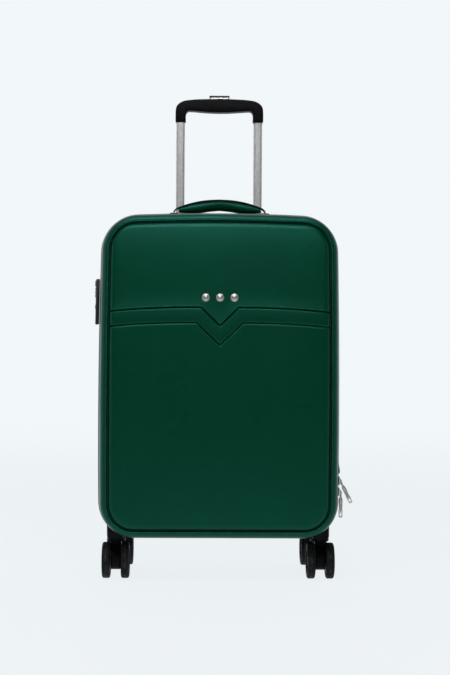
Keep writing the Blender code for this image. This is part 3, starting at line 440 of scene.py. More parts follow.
def loft(rings: Sequence[Ring], closed: bool = False, capped: bool = True) -> Build:
    """Joins rings of equal length into a skin whose cloth map is in metres.

    Args:
        rings: closed loops of points.
        closed: whether the last ring joins the first.
        capped: whether the first and last rings are filled.

    Returns:
        The skin.
    """
    build = bmesh.new()
    lie = build.loops.layers.uv.new("lie")
    rows = [[build.verts.new(point) for point in ring] for ring in rings]
    count = len(rows[0])
    round_it = running([*rings[0], rings[0][0]])
    across = running([ring[0] for ring in rings] + [rings[0][0]])
    steps = list(range(len(rows) - 1)) + ([len(rows) - 1] if closed else [])
    for j in steps:
        one, two = rows[j], rows[(j + 1) % len(rows)]
        for i in range(count):
            k = (i + 1) % count
            try:
                face = build.faces.new((one[i], one[k], two[k], two[i]))
            except ValueError:
                continue
            spots = ((i, j), (i + 1, j), (i + 1, j + 1), (i, j + 1))
            for loop, (a, b) in zip(face.loops, spots):
                loop[lie].uv = (round_it[a], across[b])
    if capped and not closed:
        for row in (rows[0], rows[-1]):
            for loop in build.faces.new(row).loops:
                loop[lie].uv = (loop.vert.co.x, loop.vert.co.z)
    return build


def running(points: Sequence[Point]) -> list[float]:
    """Length so far at each point of a line."""
    total = [0.0]
    for one, two in pairwise(points):
        total.append(total[-1] + math.dist(one, two))
    return total


def make(name: str, build: Build, smooth: float = 38.0, place: Matrix | None = None):
    """Turns a skin into an object at the origin, its faces outwards.

    Args:
        name: the piece's name.
        build: the skin, which is used up.
        smooth: the angle in degrees over which an edge stays sharp.
        place: where the skin goes, if it was made elsewhere.

    Returns:
        The object.
    """
    if place is not None:
        bmesh.ops.transform(build, matrix=place, verts=build.verts[:])
    bmesh.ops.remove_doubles(build, verts=build.verts[:], dist=1e-7)
    bmesh.ops.recalc_face_normals(build, faces=build.faces[:])
    mesh = bpy.data.meshes.new(name)
    build.to_mesh(mesh)
    build.free()
    mesh.shade_smooth()
    mesh.set_sharp_from_angle(angle=math.radians(smooth))
    obj = bpy.data.objects.new(name, mesh)
    bpy.context.scene.collection.objects.link(obj)
    return obj


def settle(obj: Piece, smooth: float = 38.0) -> Piece:
    """Turns what the modifiers make into a plain mesh, and removes them."""
    graph = bpy.context.evaluated_depsgraph_get()
    mesh = bpy.data.meshes.new_from_object(obj.evaluated_get(graph), preserve_all_data_layers=True,
                                           depsgraph=graph)
    obj.modifiers.clear()
    obj.data = mesh
    mesh.shade_smooth()
    mesh.set_sharp_from_angle(angle=math.radians(smooth))
    return obj


def soften(obj: Piece, width: float, segments: int = 3, angle: float = 35.0) -> Piece:
    """Rounds the edges sharper than an angle."""
    modifier = obj.modifiers.new("round", "BEVEL")
    modifier.width = width
    modifier.segments = segments
    modifier.limit_method = "ANGLE"
    modifier.angle_limit = math.radians(angle)
    return settle(obj)


def cut(obj: Piece, cutters: Iterable[Build], operation: str = "DIFFERENCE"):
    """Cuts skins out of a piece, or joins them to it.

    Args:
        obj: the piece.
        cutters: closed skins, which are used up.
        operation: DIFFERENCE or UNION.

    Returns:
        The piece.
    """
    tools = [make(f"tool_{i}", build) for i, build in enumerate(cutters)]
    for tool in tools:
        modifier = obj.modifiers.new("cut", "BOOLEAN")
        modifier.operation = operation
        modifier.solver = "EXACT"
        modifier.object = tool
    settle(obj)
    for tool in tools:
        bpy.data.objects.remove(tool)
    return obj


def mark_edges(mesh: bpy.types.Mesh) -> None:
    """Writes how sharp each corner stands out, which is where a finish rubs."""
    build = bmesh.new()
    build.from_mesh(mesh)
    found = []
    for vert in build.verts:
        turn = max((edge.calc_face_angle_signed(0.0) for edge in vert.link_edges), default=0.0)
        found.append(min(1.0, max(0.0, (turn - 0.15) / 0.6)))
    build.free()
    attribute = mesh.attributes.new("edge", "FLOAT", "POINT")
    attribute.data.foreach_set("value", found)


def dress(obj: Piece, body: str, finish: Finish, *nodes: str, edges: bool = True) -> Piece:
    """Gives a piece its finish and its body.

    Args:
        obj: the finished mesh.
        body: the body that it moves with.
        finish: its surface.
        nodes: the frame's nodes that it stands for.
        edges: whether its edges are marked for wear.

    Returns:
        The piece.
    """
    if not obj.data.materials:
        obj.data.materials.append(finish.material())
    if edges:
        mark_edges(obj.data)
    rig.ride(obj, body)
    if nodes:
        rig.replaces(obj, *nodes)
    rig.slot(obj, finish.slot)
    LOG.info("%s rides on %s in %s, %d faces", obj.name, body, finish.name, len(obj.data.polygons))
    return obj


def dress_node(name: str, finish: Finish) -> None:
    """Gives a node of the frame its finish, its shape as it is."""
    obj = frame["nodes"][name]
    obj.data.materials.clear()
    obj.data.materials.append(finish.material())
    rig.slot(obj, finish.slot)
    LOG.info("%s keeps its shape, in %s", name, finish.name)


def circle(a: float, b: float, radius: float, count: int) -> list[tuple[float, float]]:
    """Points of a circle."""
    turns = [2 * math.pi * i / count for i in range(count)]
    return [(a + radius * math.cos(t), b + radius * math.sin(t)) for t in turns]


def rounded(cx: float, cy: float, width: float, depth: float, radius: float, steps: int = 6):
    """Points of a rounded rectangle."""
    points = []
    for sx, sy, start in ((1, 1, 0), (-1, 1, 90), (-1, -1, 180), (1, -1, 270)):
        core = (cx + sx * (width / 2 - radius), cy + sy * (depth / 2 - radius))
        for i in range(steps + 1):
            angle = math.radians(start + 90.0 * i / steps)
            points.append((core[0] + radius * math.cos(angle), core[1] + radius * math.sin(angle)))
    return points


def level(points: Sequence[Point], height: float, axis: str = "Z") -> Ring:
    """Sets flat points at a height along an axis."""
    orders = {
        "X": lambda a, b: (height, a, b),
        "Y": lambda a, b: (a, height, b),
        "Z": lambda a, b: (a, b, height),
    }
    return [orders[axis](a, b) for a, b in points]


def prism(points: Sequence[Point], low: float, high: float, axis: str) -> Build:
    """A flat shape pushed along one axis."""
    return loft([level(points, low, axis), level(points, high, axis)])


def block(low: Point, high: Point) -> Build:
    """A square-edged skin, to cut with or to soften."""
    corners = [(low[0], low[1]), (high[0], low[1]), (high[0], high[1]), (low[0], high[1])]
    return prism(corners, low[2], high[2], "Z")


def turned(profile: Sequence[Point], centre: Point, axis: str, count: int) -> Build:
    """Turns a closed profile of (along, radius) round an axis.

    Args:
        profile: the profile's points.
        centre: a point on the axis.
        axis: X, Y or Z.
        count: how many steps make the turn.

    Returns:
        The turned skin.
    """
    rings = []
    for i in range(count):
        angle = 2 * math.pi * i / count
        ring = []
        for along, radius in profile:
            one, two = radius * math.cos(angle), radius * math.sin(angle)
            offset = {"X": (along, two, -one), "Y": (one, along, two), "Z": (one, two, along)}[axis]
            ring.append(tuple(c + d for c, d in zip(centre, offset)))
        rings.append(ring)
    return loft(rings, closed=True)


def flowing(points: Sequence[Point], steps: int) -> list[tuple[float, ...]]:
    """A smooth line through points, with some steps between each two."""
    found = []
    ends = [points[0], *points, points[-1]]
    for i in range(1, len(ends) - 2):
        for k in range(steps):
            t = k / steps
            weights = (-t + 2 * t**2 - t**3, 2 - 5 * t**2 + 3 * t**3, t + 4 * t**2 - 3 * t**3, -(t**2) + t**3)
            near = ends[i - 1 : i + 3]
            found.append(tuple(sum(w * p[n] for w, p in zip(weights, near)) / 2
                               for n in range(len(points[0]))))
    found.append(tuple(points[-1]))
    return found


def spread(low: float, high: float, count: int) -> list[float]:
    """Even steps from one value to another, both ends included."""
    return [low + (high - low) * i / (count - 1) for i in range(count)]


# ---------------------------------------------------------------- rows of small pieces


@dataclass(frozen=True)
class Line:
    """A line that small pieces stand along, and which way is out at each of its points."""

    points: Ring
    outs: Ring
    looped: bool = False


class RowTree:
    """A node tree that stands copies of a small piece along lines at a pitch."""

    def __init__(self, follows: bool) -> None:
        """Wires the tree.

        Args:
            follows: whether copies run along lines, or stand on single points.
        """
        self.follows = follows
        self.tree = bpy.data.node_groups.new("row_along_line" if follows else "one_at_each_point",
                                             "GeometryNodeTree")
        self.ids = self.sockets()
        self.wire()

    def sockets(self) -> dict[str, str]:
        """Adds the tree's named inputs, and gives their identifiers by name."""
        face = self.tree.interface
        face.new_socket("Geometry", in_out="OUTPUT", socket_type="NodeSocketGeometry")
        kinds = {"Line": "Geometry", "Piece": "Object", "Pitch": "Float", "Size spread": "Float",
                 "Seed": "Int", "Finish": "Material"}
        made = {}
        for name, kind in kinds.items():
            made[name] = face.new_socket(name, in_out="INPUT", socket_type="NodeSocket" + kind).identifier
        return made

    def node(self, kind: str, inputs: dict, out: int | str = 0, **settings: object) -> Socket:
        """Adds a node, feeds it, and gives one of its outputs."""
        made = self.tree.nodes.new(kind)
        for name, value in settings.items():
            setattr(made, name, value)
        for name, value in inputs.items():
            if isinstance(value, Socket):
                self.tree.links.new(value, made.inputs[name])
            else:
                made.inputs[name].default_value = value
        return made.outputs[out]

    def attribute(self, name: str) -> Socket:
        """Reads a direction stored on the line."""
        return self.node("GeometryNodeInputNamedAttribute", {"Name": name}, data_type="FLOAT_VECTOR")

    def wire(self) -> None:
        """Wires lines, copies, turns and finish."""
        entry = self.tree.nodes.new("NodeGroupInput").outputs
        points, along = entry["Line"], self.attribute("along")
        if self.follows:
            curve = self.node("GeometryNodeMeshToCurve", {0: points})
            inputs = {"Curve": curve, "Length": entry["Pitch"]}
            points = self.node("GeometryNodeResampleCurve", inputs, mode="LENGTH")
            along = self.node("GeometryNodeInputTangent", {})
        first = self.node("FunctionNodeAlignRotationToVector", {"Vector": along}, axis="X")
        inputs = {"Rotation": first, "Vector": self.attribute("out")}
        turn = self.node("FunctionNodeAlignRotationToVector", inputs, axis="Z", pivot_axis="X")
        less = self.node("ShaderNodeMath", {0: 1.0, 1: entry["Size spread"]}, operation="SUBTRACT")
        inputs = {2: less, 3: 1.0, "Seed": entry["Seed"]}
        size = self.node("FunctionNodeRandomValue", inputs, 1, data_type="FLOAT")
        shape = self.node("GeometryNodeObjectInfo", {0: entry["Piece"]}, "Geometry",
                          transform_space="ORIGINAL")
        inputs = {"Points": points, "Instance": shape, "Rotation": turn, "Scale": size}
        copies = self.node("GeometryNodeInstanceOnPoints", inputs)
        real = self.node("GeometryNodeRealizeInstances", {0: copies})
        final = self.node("GeometryNodeSetMaterial", {"Geometry": real, "Material": entry["Finish"]})
        self.tree.links.new(final, self.tree.nodes.new("NodeGroupOutput").inputs[0])

    def lay(self, name: str, body: str, lines: Sequence[Line], piece: Build, finish: Finish,
            pitch: float = 0.003, uneven: float = 0.0) -> Piece:
        """Stands copies of a piece along lines and dresses the result.

        Args:
            name: the row's name.
            body: the body that it moves with.
            lines: where the copies stand. On single points, outs hold the along direction after the out one.
            piece: the small skin, X along the line and Z out, which is used up.
            finish: its surface.
            pitch: the distance between copies.
            uneven: how much smaller a copy may be.

        Returns:
            The row as one mesh.
        """
        pattern = make("pattern", piece, smooth=50)
        mesh = bpy.data.meshes.new(name)
        points, outs, edges = [], [], []
        for line in lines:
            first = len(points)
            points += [tuple(point) for point in line.points]
            outs += [tuple(out[:3]) for out in line.outs]
            count = len(line.points)
            edges += [(first + i, first + i + 1) for i in range(count - 1)]
            if line.looped:
                edges.append((first + count - 1, first))
        mesh.from_pydata(points, edges if self.follows else [], [])
        flat = [value for out in outs for value in out]
        mesh.attributes.new("out", "FLOAT_VECTOR", "POINT").data.foreach_set("vector", flat)
        if not self.follows:
            flat = [value for line in lines for out in line.outs for value in out[3:]]
            mesh.attributes.new("along", "FLOAT_VECTOR", "POINT").data.foreach_set("vector", flat)
        obj = bpy.data.objects.new(name, mesh)
        bpy.context.scene.collection.objects.link(obj)
        modifier = obj.modifiers.new("row", "NODES")
        modifier.node_group = self.tree
        values = {"Piece": pattern, "Pitch": pitch, "Size spread": uneven, "Seed": SEED,
                  "Finish": finish.material()}
        for key, value in values.items():
            modifier[self.ids[key]] = value
        settle(obj, 50)
        bpy.data.objects.remove(pattern)
        return dress(obj, body, finish, edges=False)


def stitch(length: float, radius: float) -> Build:
    """One sewn stitch, X along the seam, its ends tucked under the surface."""
    rings = []
    for share, size in ((-0.5, 0.35), (-0.36, 0.85), (0.0, 1.0), (0.36, 0.85), (0.5, 0.35)):
        sink = radius * (0.25 - 1.6 * (2 * share) ** 4)
        rings.append([(share * length, a, b + sink) for a, b in circle(0.0, 0.0, radius * size, 6)])
    return loft(rings)


def screw_head(radius: float, tall: float) -> Build:
    """A domed screw head, Z up out of the surface."""
    build = loft([[(a, b, tall * rise) for a, b in circle(0, 0, radius * share, 16)]
                  for share, rise in ((1.0, -0.5), (1.0, 0.3), (0.85, 0.8), (0.5, 1.0))])
    return build


# ---------------------------------------------------------------- the case's shape


@dataclass(frozen=True)
class CaseShape:
    """The rounded outline of the case seen from the front, and how it changes through the depth."""

    half_w: float = 0.1757
    base_z: float = 0.0665
    top_z: float = 0.5498
    corner: float = 0.05
    crown: float = 0.005
    side_bow: float = 0.0035
    side_bow_more: float = 0.0015
    bow_mid_z: float = 0.248
    bow_half_z: float = 0.31
    swell_out: float = 0.0072
    swell_mid_y: float = 0.005
    swell_half_y: float = 0.105
    front_y: float = -0.1045
    band_rear_y: float = 0.0985
    rear_y: float = 0.1125
    zip_y: float = -0.072
    zip_half: float = 0.0072
    zip_end_z: float = 0.126
    gusset_top_z: float = 0.451
    arc_steps: int = 16
    flat_steps: int = 18

    def swell(self, y: float) -> float:
        """How far the case stands out from its front outline at a depth."""
        return self.swell_out * (1 - ((y - self.swell_mid_y) / self.swell_half_y) ** 2)

    def bent(self, x: float, z: float, y: float) -> tuple[float, float]:
        """Bows a point of the plain outline sideways and crowns the top."""
        bow = self.side_bow + self.side_bow_more * max(0.0, self.swell(y)) / self.swell_out
        rise = max(0.0, (z - self.bow_mid_z) / (self.top_z - self.bow_mid_z))
        wide = 1 + bow / self.half_w * (1 - ((z - self.bow_mid_z) / self.bow_half_z) ** 2)
        return x * wide, z + self.crown * rise * max(0.0, 1 - (x / self.half_w) ** 2)

    def side_x(self, z: float, y: float, out: float = 0.0) -> float:
        """X of the hinge side's surface at a height."""
        return self.bent(self.half_w + self.swell(y) + out, z, y)[0]

    def over_top(self, x: float, y: float, out: float = 0.0) -> float:
        """Z of the top surface at an x."""
        return self.bent(x, self.top_z + self.swell(y) + out, y)[1]

    def arc(self, sx: int, sz: int, start: float) -> list[Station]:
        """Stations of one rounded corner, both ends included."""
        core_z = self.top_z - self.corner if sz > 0 else self.base_z + self.corner
        turns = [math.radians(start + 90.0 * i / self.arc_steps) for i in range(self.arc_steps + 1)]
        return [(sx * (self.half_w - self.corner), core_z, math.cos(t), math.sin(t)) for t in turns]

    def zip_way(self) -> list[Station]:
        """Stations of the zip's way round, from the hinge's top over the case and back under it."""
        core = self.half_w - self.corner
        high, low = self.top_z - self.corner, self.base_z + self.corner
        found = [(core, z, 1.0, 0.0) for z in spread(self.gusset_top_z, high, 4)[:-1]]
        found += self.arc(1, 1, 0.0)
        found += [(x, high, 0.0, 1.0) for x in spread(core, -core, self.flat_steps)[1:-1]]
        found += self.arc(-1, 1, 90.0)
        found += [(-core, z, -1.0, 0.0) for z in spread(high, low, 2 * self.flat_steps)[1:-1]]
        found += self.arc(-1, -1, 180.0)
        found += [(x, low, 0.0, -1.0) for x in spread(-core, core, self.flat_steps)[1:-1]]
        found += self.arc(1, -1, 270.0)
        found.append((core, self.zip_end_z, 1.0, 0.0))
        return found

    def hinge_way(self, gap: float = 0.0) -> list[Station]:
        """Stations of the hinge's stretch, kept off the zip's ends by a gap."""
        heights = spread(self.zip_end_z + gap, self.gusset_top_z - gap, 2 * self.flat_steps)
        return [(self.half_w - self.corner, z, 1.0, 0.0) for z in heights]

    def whole_way(self) -> list[Station]:
        """Stations of the whole outline."""
        return self.zip_way() + self.hinge_way()[1:-1]

    def ring(self, y: float, out: float, way: Sequence[Station]) -> Ring:
        """Points of the outline at a depth, moved out by a distance."""
        ring = []
        for core_x, core_z, way_x, way_z in way:
            reach = self.corner + out
            x, z = self.bent(core_x + way_x * reach, core_z + way_z * reach, y)
            ring.append((x, y, z))
        return ring

    def line(self, y: float, lift: float, way: Sequence[Station], looped: bool = False,
             facing: float = 0.0) -> Line:
        """A line round the case for a row of small pieces.

        Args:
            y: its depth.
            lift: how far it stands off the case's swelled surface.
            way: the stations that it follows.
            looped: whether it closes on itself.
            facing: how far the out direction leans towards +Y.

        Returns:
            The line.
        """
        outs = [(way_x, facing, way_z) for _, _, way_x, way_z in way]
        return Line(self.ring(y, self.swell(y) + lift, way), outs, looped)


SHAPE = CaseShape()


# ---------------------------------------------------------------- shells


@dataclass(frozen=True)
class Shells:
    """The case's leather band, the lid's roll and the back, with their sewn edges."""

    shape: CaseShape = SHAPE
    wall: float = 0.006
    lid_wall: float = 0.005
    groove_in: float = 0.0092
    panel_back_y: float = -0.0988
    stitch_pitch: float = 0.0036
    stitch_r: float = 0.00034
    seam_in: float = 0.003

    def folded(self, y: float, way: float) -> list[tuple[float, float]]:
        """Rows of a leather edge turned under, from the inside out."""
        s = self.shape.swell(y)
        return [(y, s - 0.0026), (y + way * 0.0002, s - 0.0012), (y + way * 0.0008, s - 0.0003),
                (y + way * 0.0018, s)]

    def skin_of(self, profile: Sequence[Point], inner_from: int, name: str) -> Piece:
        """Lofts a profile round the case, and lines the rows from one number on with cloth.

        Args:
            profile: (depth, out) of each row.
            inner_from: the first row that faces inwards.
            name: the piece's name.

        Returns:
            The shell.
        """
        way = self.shape.whole_way()
        build = loft([self.shape.ring(y, out, way) for y, out in profile], closed=True)
        build.faces.ensure_lookup_table()
        for face in build.faces[inner_from * len(way) :]:
            face.material_index = 1
        obj = make(name, build, 42)
        obj.data.materials.append(BAND_LEATHER.material())
        obj.data.materials.append(LINING.material())
        return obj

    def build_side_band(self) -> None:
        """The deep band that carries the handles, the lock and the casters."""
        shape = self.shape
        front, rear = shape.zip_y + shape.zip_half, shape.band_rear_y
        outer = self.folded(front, 1.0)
        outer += [(y, shape.swell(y)) for y in spread(front + 0.006, rear - 0.006, 15)]
        outer += list(reversed(self.folded(rear, -1.0)))
        inner = [(y, shape.swell(y) - self.wall) for y in spread(rear, front, 6)]
        band = self.skin_of(outer + inner, len(outer), "case_band")
        cup_low, cup_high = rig.box("trolley_cup")
        inside = 0.0035
        low = (cup_low.x + inside - GAP, cup_low.y + inside - GAP, cup_low.z + 0.004)
        high = (cup_high.x - inside + GAP, cup_high.y - inside + GAP, cup_high.z + 0.03)
        cutters = [block(low, high)]
        for _, side in SIDES:
            low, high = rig.box("handle_anchor_" + side)
            middle = (low + high) / 2
            cutters.append(block((middle.x - 0.0013, -0.0105, 0.53), (middle.x + 0.0013, 0.0105, 0.59)))
        cut(band, cutters)
        dress(band, "case", BAND_LEATHER, "side_band")

    def build_lid_band(self) -> None:
        """The lid's roll: out from the zip, round to the front, and a bead beside the groove."""
        shape = self.shape
        zip_y = shape.zip_y - shape.zip_half
        board_y = self.panel_back_y + GAP
        roll = [
            (zip_y - 0.0018, shape.swell(zip_y)),
            (-0.086, shape.swell(-0.086) + 0.0002),
            (-0.0915, shape.swell(-0.0915) + 0.0004),
            (-0.096, 0.0008),
            (-0.0995, -0.0004),
            (-0.1022, -0.0024),
            (-0.1038, -0.0048),
            (shape.front_y, -0.0068),
        ]
        bead = [(-0.1043, -0.0072), (-0.1048, -0.0077), (-0.1052, -0.0083), (-0.105, -0.0089),
                (-0.1044, -0.0092), (-0.103, -0.0093)]
        outer = self.folded(zip_y, -1.0)[:-1] + flowing(roll, 3) + bead
        inner = [(board_y, -self.groove_in), (board_y, -self.lid_wall),
                 (zip_y, shape.swell(zip_y) - self.lid_wall)]
        band = self.skin_of(outer + inner, len(outer), "lid_band_leather")
        dress(band, "lid", BAND_LEATHER, "lid_band")

    def build_back(self) -> None:
        """The back: a rolled rim round a flat field with one sunk seam."""
        shape = self.shape
        face = shape.rear_y
        edge = shape.band_rear_y + GAP
        rim = [(edge, shape.swell(edge)), (0.1015, 0.0016), (0.104, -0.0003), (0.1085, -0.0035),
               (0.1113, -0.009), (face, -0.018), (face, -0.024)]
        seam = [(face, -0.0262), (face - 0.0004, -0.0268), (face - 0.0013, -0.0272), (face - 0.0013, -0.028),
                (face - 0.0004, -0.0284), (face, -0.029)]
        inner = [(edge, shape.swell(edge) - self.wall), (0.1015, -0.0065), (0.1055, -0.0105),
                 (face - 0.004, -0.018)]
        way = shape.whole_way()
        rows = list(reversed(flowing(rim, 3) + seam)) + inner
        build = loft([shape.ring(y, out, way) for y, out in rows])
        back = make("back_panel", build, 42)
        dress(back, "case", LEATHER, "rear_panel")

    def build_stitches(self, rows: RowTree) -> None:
        """Stitches beside the zip, round the back edge and round the back's seam."""
        shape = self.shape
        way = shape.whole_way()
        lift = self.stitch_r * 0.3
        one = lambda: stitch(self.stitch_pitch * 0.74, self.stitch_r)
        front = shape.line(shape.zip_y + shape.zip_half + self.seam_in, lift, way, True)
        rear = shape.line(shape.band_rear_y - self.seam_in, lift, way, True)
        rows.lay("case_band_stitches", "case", [front, rear], one(), THREAD, self.stitch_pitch, 0.08)
        lid = shape.line(shape.zip_y - shape.zip_half - self.seam_in, lift, way, True)
        rows.lay("lid_band_stitches", "lid", [lid], one(), THREAD, self.stitch_pitch, 0.08)
        seams = []
        for out in (-0.0248, -0.0304):
            points = shape.ring(shape.rear_y + lift, out, way)
            seams.append(Line(points, [(0.0, 1.0, 0.0)] * len(points), True))
        rows.lay("back_stitches", "case", seams, one(), THREAD, self.stitch_pitch, 0.08)

    def build(self, rows: RowTree) -> None:
        """Makes every shell."""
        self.build_side_band()
        self.build_lid_band()
        self.build_back()
        self.build_stitches(rows)


# ---------------------------------------------------------------- front panels


class Part(Enum):
    """The three pieces that the front is sewn from."""

    UPPER = "upper"
    CHEVRON = "chevron"
    LOWER = "lower"


@dataclass(frozen=True)
class FrontPanels:
    """The padded front in three pieces, its two chevron seams, its piping and its three studs."""

    shape: CaseShape = SHAPE
    inset: float = 0.0124
    back_y: float = -0.0988
    edge_y: float = -0.1025
    round_in: float = 0.007
    round_y: float = 0.0036
    crown: float = 0.0062
    shoulder: float = 0.0038
    shoulder_in: float = 0.019
    proud: float = 0.0007
    upper: tuple[float, float, float] = (0.4115, 0.3843, 0.028)
    lower: tuple[float, float, float] = (0.3889, 0.356, 0.0345)
    droop: float = 0.0055
    roll_in: float = 0.0036
    roll_deep: float = 0.0038
    bead_in: float = 0.0017
    bead_out: float = 0.0009
    hem_in: float = 0.0095
    hem_out: float = 0.0014
    near: tuple[float, ...] = (0.0, 0.00025, 0.0006, 0.001, 0.0015, 0.002, 0.0026, 0.0034, 0.0048, 0.007)
    fringe: tuple[float, ...] = (0.0, 0.0003, 0.0008, 0.0015, 0.0024, 0.0035, 0.0048, 0.0064, 0.0085, 0.0115,
                                 0.0155, 0.0205, 0.0265, 0.0335, 0.041)

    def seam(self, sizes: tuple[float, float, float], x: float) -> float:
        """Height of a chevron seam at an x."""
        flat, tip, half = sizes
        if abs(x) < half:
            return tip + (flat - tip) * abs(x) / half
        return flat - self.droop * ((abs(x) - half) / (self.shape.half_w - half)) ** 2.5

    def slant(self, sizes: tuple[float, float, float], x: float) -> float:
        """Share of a height step that lies square to the seam."""
        flat, tip, half = sizes
        return half / math.hypot(half, flat - tip) if abs(x) < half else 1.0

    @property
    def reach(self) -> tuple[float, float, float, float]:
        """Half width, half height, middle height and corner radius of the front field."""
        shape = self.shape
        tall = (shape.top_z - shape.base_z) / 2 - self.inset
        return shape.half_w - self.inset, tall, (shape.top_z + shape.base_z) / 2, shape.corner - self.inset

    def half_at(self, z: float) -> float:
        """Half width of the field at a height."""
        wide, tall, mid, radius = self.reach
        over = min(radius, max(0.0, abs(z - mid) - (tall - radius)))
        return wide - radius + math.sqrt(radius**2 - over**2)

    def face_y(self, x: float, z: float) -> float:
        """Depth of the padded face: rounded at its rim, gently domed inside."""
        wide, tall, mid, radius = self.reach
        qx, qz = abs(x) - (wide - radius), abs(z - mid) - (tall - radius)
        rim = radius - math.hypot(max(qx, 0.0), max(qz, 0.0)) - min(max(qx, qz), 0.0)
        share = 1 - min(1.0, max(0.0, rim) / self.round_in)
        dome = max(0.0, 1 - (x / wide) ** 2) * max(0.0, 1 - ((z - mid) / tall) ** 2)
        shoulder = self.shoulder * math.exp(-max(0.0, mid + tall - z) / self.shoulder_in)
        out = self.round_y * math.sqrt(max(0.0, 1 - share**2)) + self.crown * dome**0.5
        return min(self.edge_y, self.edge_y - out + shoulder)

    def rolled(self, part: Part, x: float, z: float) -> float:
        """How far the face sinks beside its seams, less the bead of the upper seam."""
        sunk = 0.0
        seams = {Part.UPPER: ((self.upper, 1),), Part.LOWER: ((self.lower, -1),),
                 Part.CHEVRON: ((self.upper, -1), (self.lower, 1))}[part]
        for sizes, way in seams:
            away = max(0.0, way * (z - self.seam(sizes, x)) * self.slant(sizes, x))
            share = 1 - min(1.0, away / self.roll_in)
            sunk += self.roll_deep * (1 - math.sqrt(max(0.0, 1 - share**2)))
            if part is Part.UPPER:
                sunk -= self.bead_out * math.exp(-(((away - self.bead_in) / 0.0008) ** 2))
                sunk -= self.hem_out * math.exp(-((away / self.hem_in) ** 2))
            ripple = noise.noise(Vector((x * 95.0, z * 22.0, way * 3.0)))
            sunk += 0.00022 * ripple * math.exp(-away / 0.01) * min(1.0, away / 0.002)
        sunk += 0.00035 * noise.noise(Vector((x * 9.0, z * 9.0, 5.0)))
        return sunk

    def beside(self, sizes: tuple[float, float, float], way: int, steps: Sequence[float]) -> list[HeightAt]:
        """Rows over (1) or under (-1) a seam, at these distances square to it."""
        return [lambda x, d=d: self.seam(sizes, x) + way * (GAP / 2 + d / self.slant(sizes, x))
                for d in steps]

    def rows(self, part: Part) -> list[HeightAt]:
        """Rows of one piece from low to high, as heights that depend on x."""
        _, tall, mid, _ = self.reach
        above, below = self.beside(self.upper, 1, self.near), self.beside(self.lower, -1, self.near)
        under, over = self.beside(self.upper, -1, self.near[:-2]), self.beside(self.lower, 1, self.near[:-2])
        if part is Part.CHEVRON:
            return [*over, lambda x: (over[-1](x) + under[-1](x)) / 2, *reversed(under)]
        if part is Part.UPPER:
            rim = [lambda x, d=d: mid + tall - d for d in reversed(self.fringe)]
            first, last = above[-1], rim[0]
            inner = [lambda x, t=t: first(x) + (last(x) - first(x)) * t for t in spread(0, 1, 12)[1:-1]]
            return above + inner + rim
        rim = [lambda x, d=d: mid - tall + d for d in self.fringe]
        first, last = rim[-1], below[-1]
        inner = [lambda x, t=t: first(x) + (last(x) - first(x)) * t for t in spread(0, 1, 22)[1:-1]]
        return rim + inner + list(reversed(below))

    def columns(self) -> list[float]:
        """Shares of the half width where the columns stand: close at the rim and at the V."""
        wide = self.reach[0]
        half = {1 - d / wide for d in self.fringe[:10]} | set(spread(0.0, 0.9, 26))
        half |= {self.upper[2] / wide, self.lower[2] / wide}
        ordered = sorted(half)
        return [-share for share in reversed(ordered[1:])] + ordered

    def build_piece(self, part: Part, proud: float) -> Piece:
        """One padded piece of the front.

        Args:
            part: which of the three.
            proud: how far it stands in front of the others.

        Returns:
            The piece.
        """
        wide = self.reach[0]
        fronts, rims = [], []
        for row in self.rows(part):
            line = []
            for share in self.columns():
                z = row(share * wide)
                x = share * self.half_at(z)
                y = self.face_y(x, z) + self.rolled(part, x, z) - proud
                px, pz = self.shape.bent(x, z, self.shape.front_y)
                line.append((px, y, pz))
            fronts.append(line)
            rims.append([(px, self.back_y, pz) for px, _, pz in line])
        return make(f"front_{part.value}_panel", plate(fronts, rims), 42)

    def build_pieces(self) -> None:
        """The three padded pieces."""
        for part in Part:
            obj = self.build_piece(part, self.proud if part is Part.CHEVRON else 0.0)
            dress(obj, "lid", LEATHER, f"{part.value}_panel")
            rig.padded(obj, fill=0.8)

    def build_piping(self, groove_in: float = 0.0092, radius: float = 0.0011) -> None:
        """The thin piping down in the groove round the panels."""
        middle = (groove_in + self.inset) / 2
        way = self.shape.whole_way()
        section = circle(self.back_y - radius - GAP, -middle, radius, 10)
        build = loft([self.shape.ring(y, out, way) for y, out in section], closed=True)
        dress(make("groove_piping", build, 70), "lid", PIPING, "front_piping")

    def build_studs(self) -> None:
        """Three plain domed studs, each with a turned rim."""
        for name in ("stud_left", "stud_middle", "stud_right"):
            low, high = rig.box(name)
            centre = (low + high) / 2
            radius, tall, base = (high.x - low.x) / 2, high.y - low.y, high.y
            profile = [(0.0005, 0.0), (0.0005, radius * 0.9), (-tall * 0.18, radius),
                       (-tall * 0.36, radius * 0.985), (-tall * 0.46, radius * 0.9),
                       (-tall * 0.42, radius * 0.8), (-tall * 0.6, radius * 0.7),
                       (-tall * 0.8, radius * 0.5), (-tall * 0.94, radius * 0.26), (-tall, 0.0)]
            build = turned(profile, (centre.x, base, centre.z), "Y", 32)
            dress(make(f"domed_{name}", build, 50), "lid", NICKEL, name)

    def build(self) -> None:
        """Makes the front."""
        self.build_pieces()
        self.build_piping()
        self.build_studs()


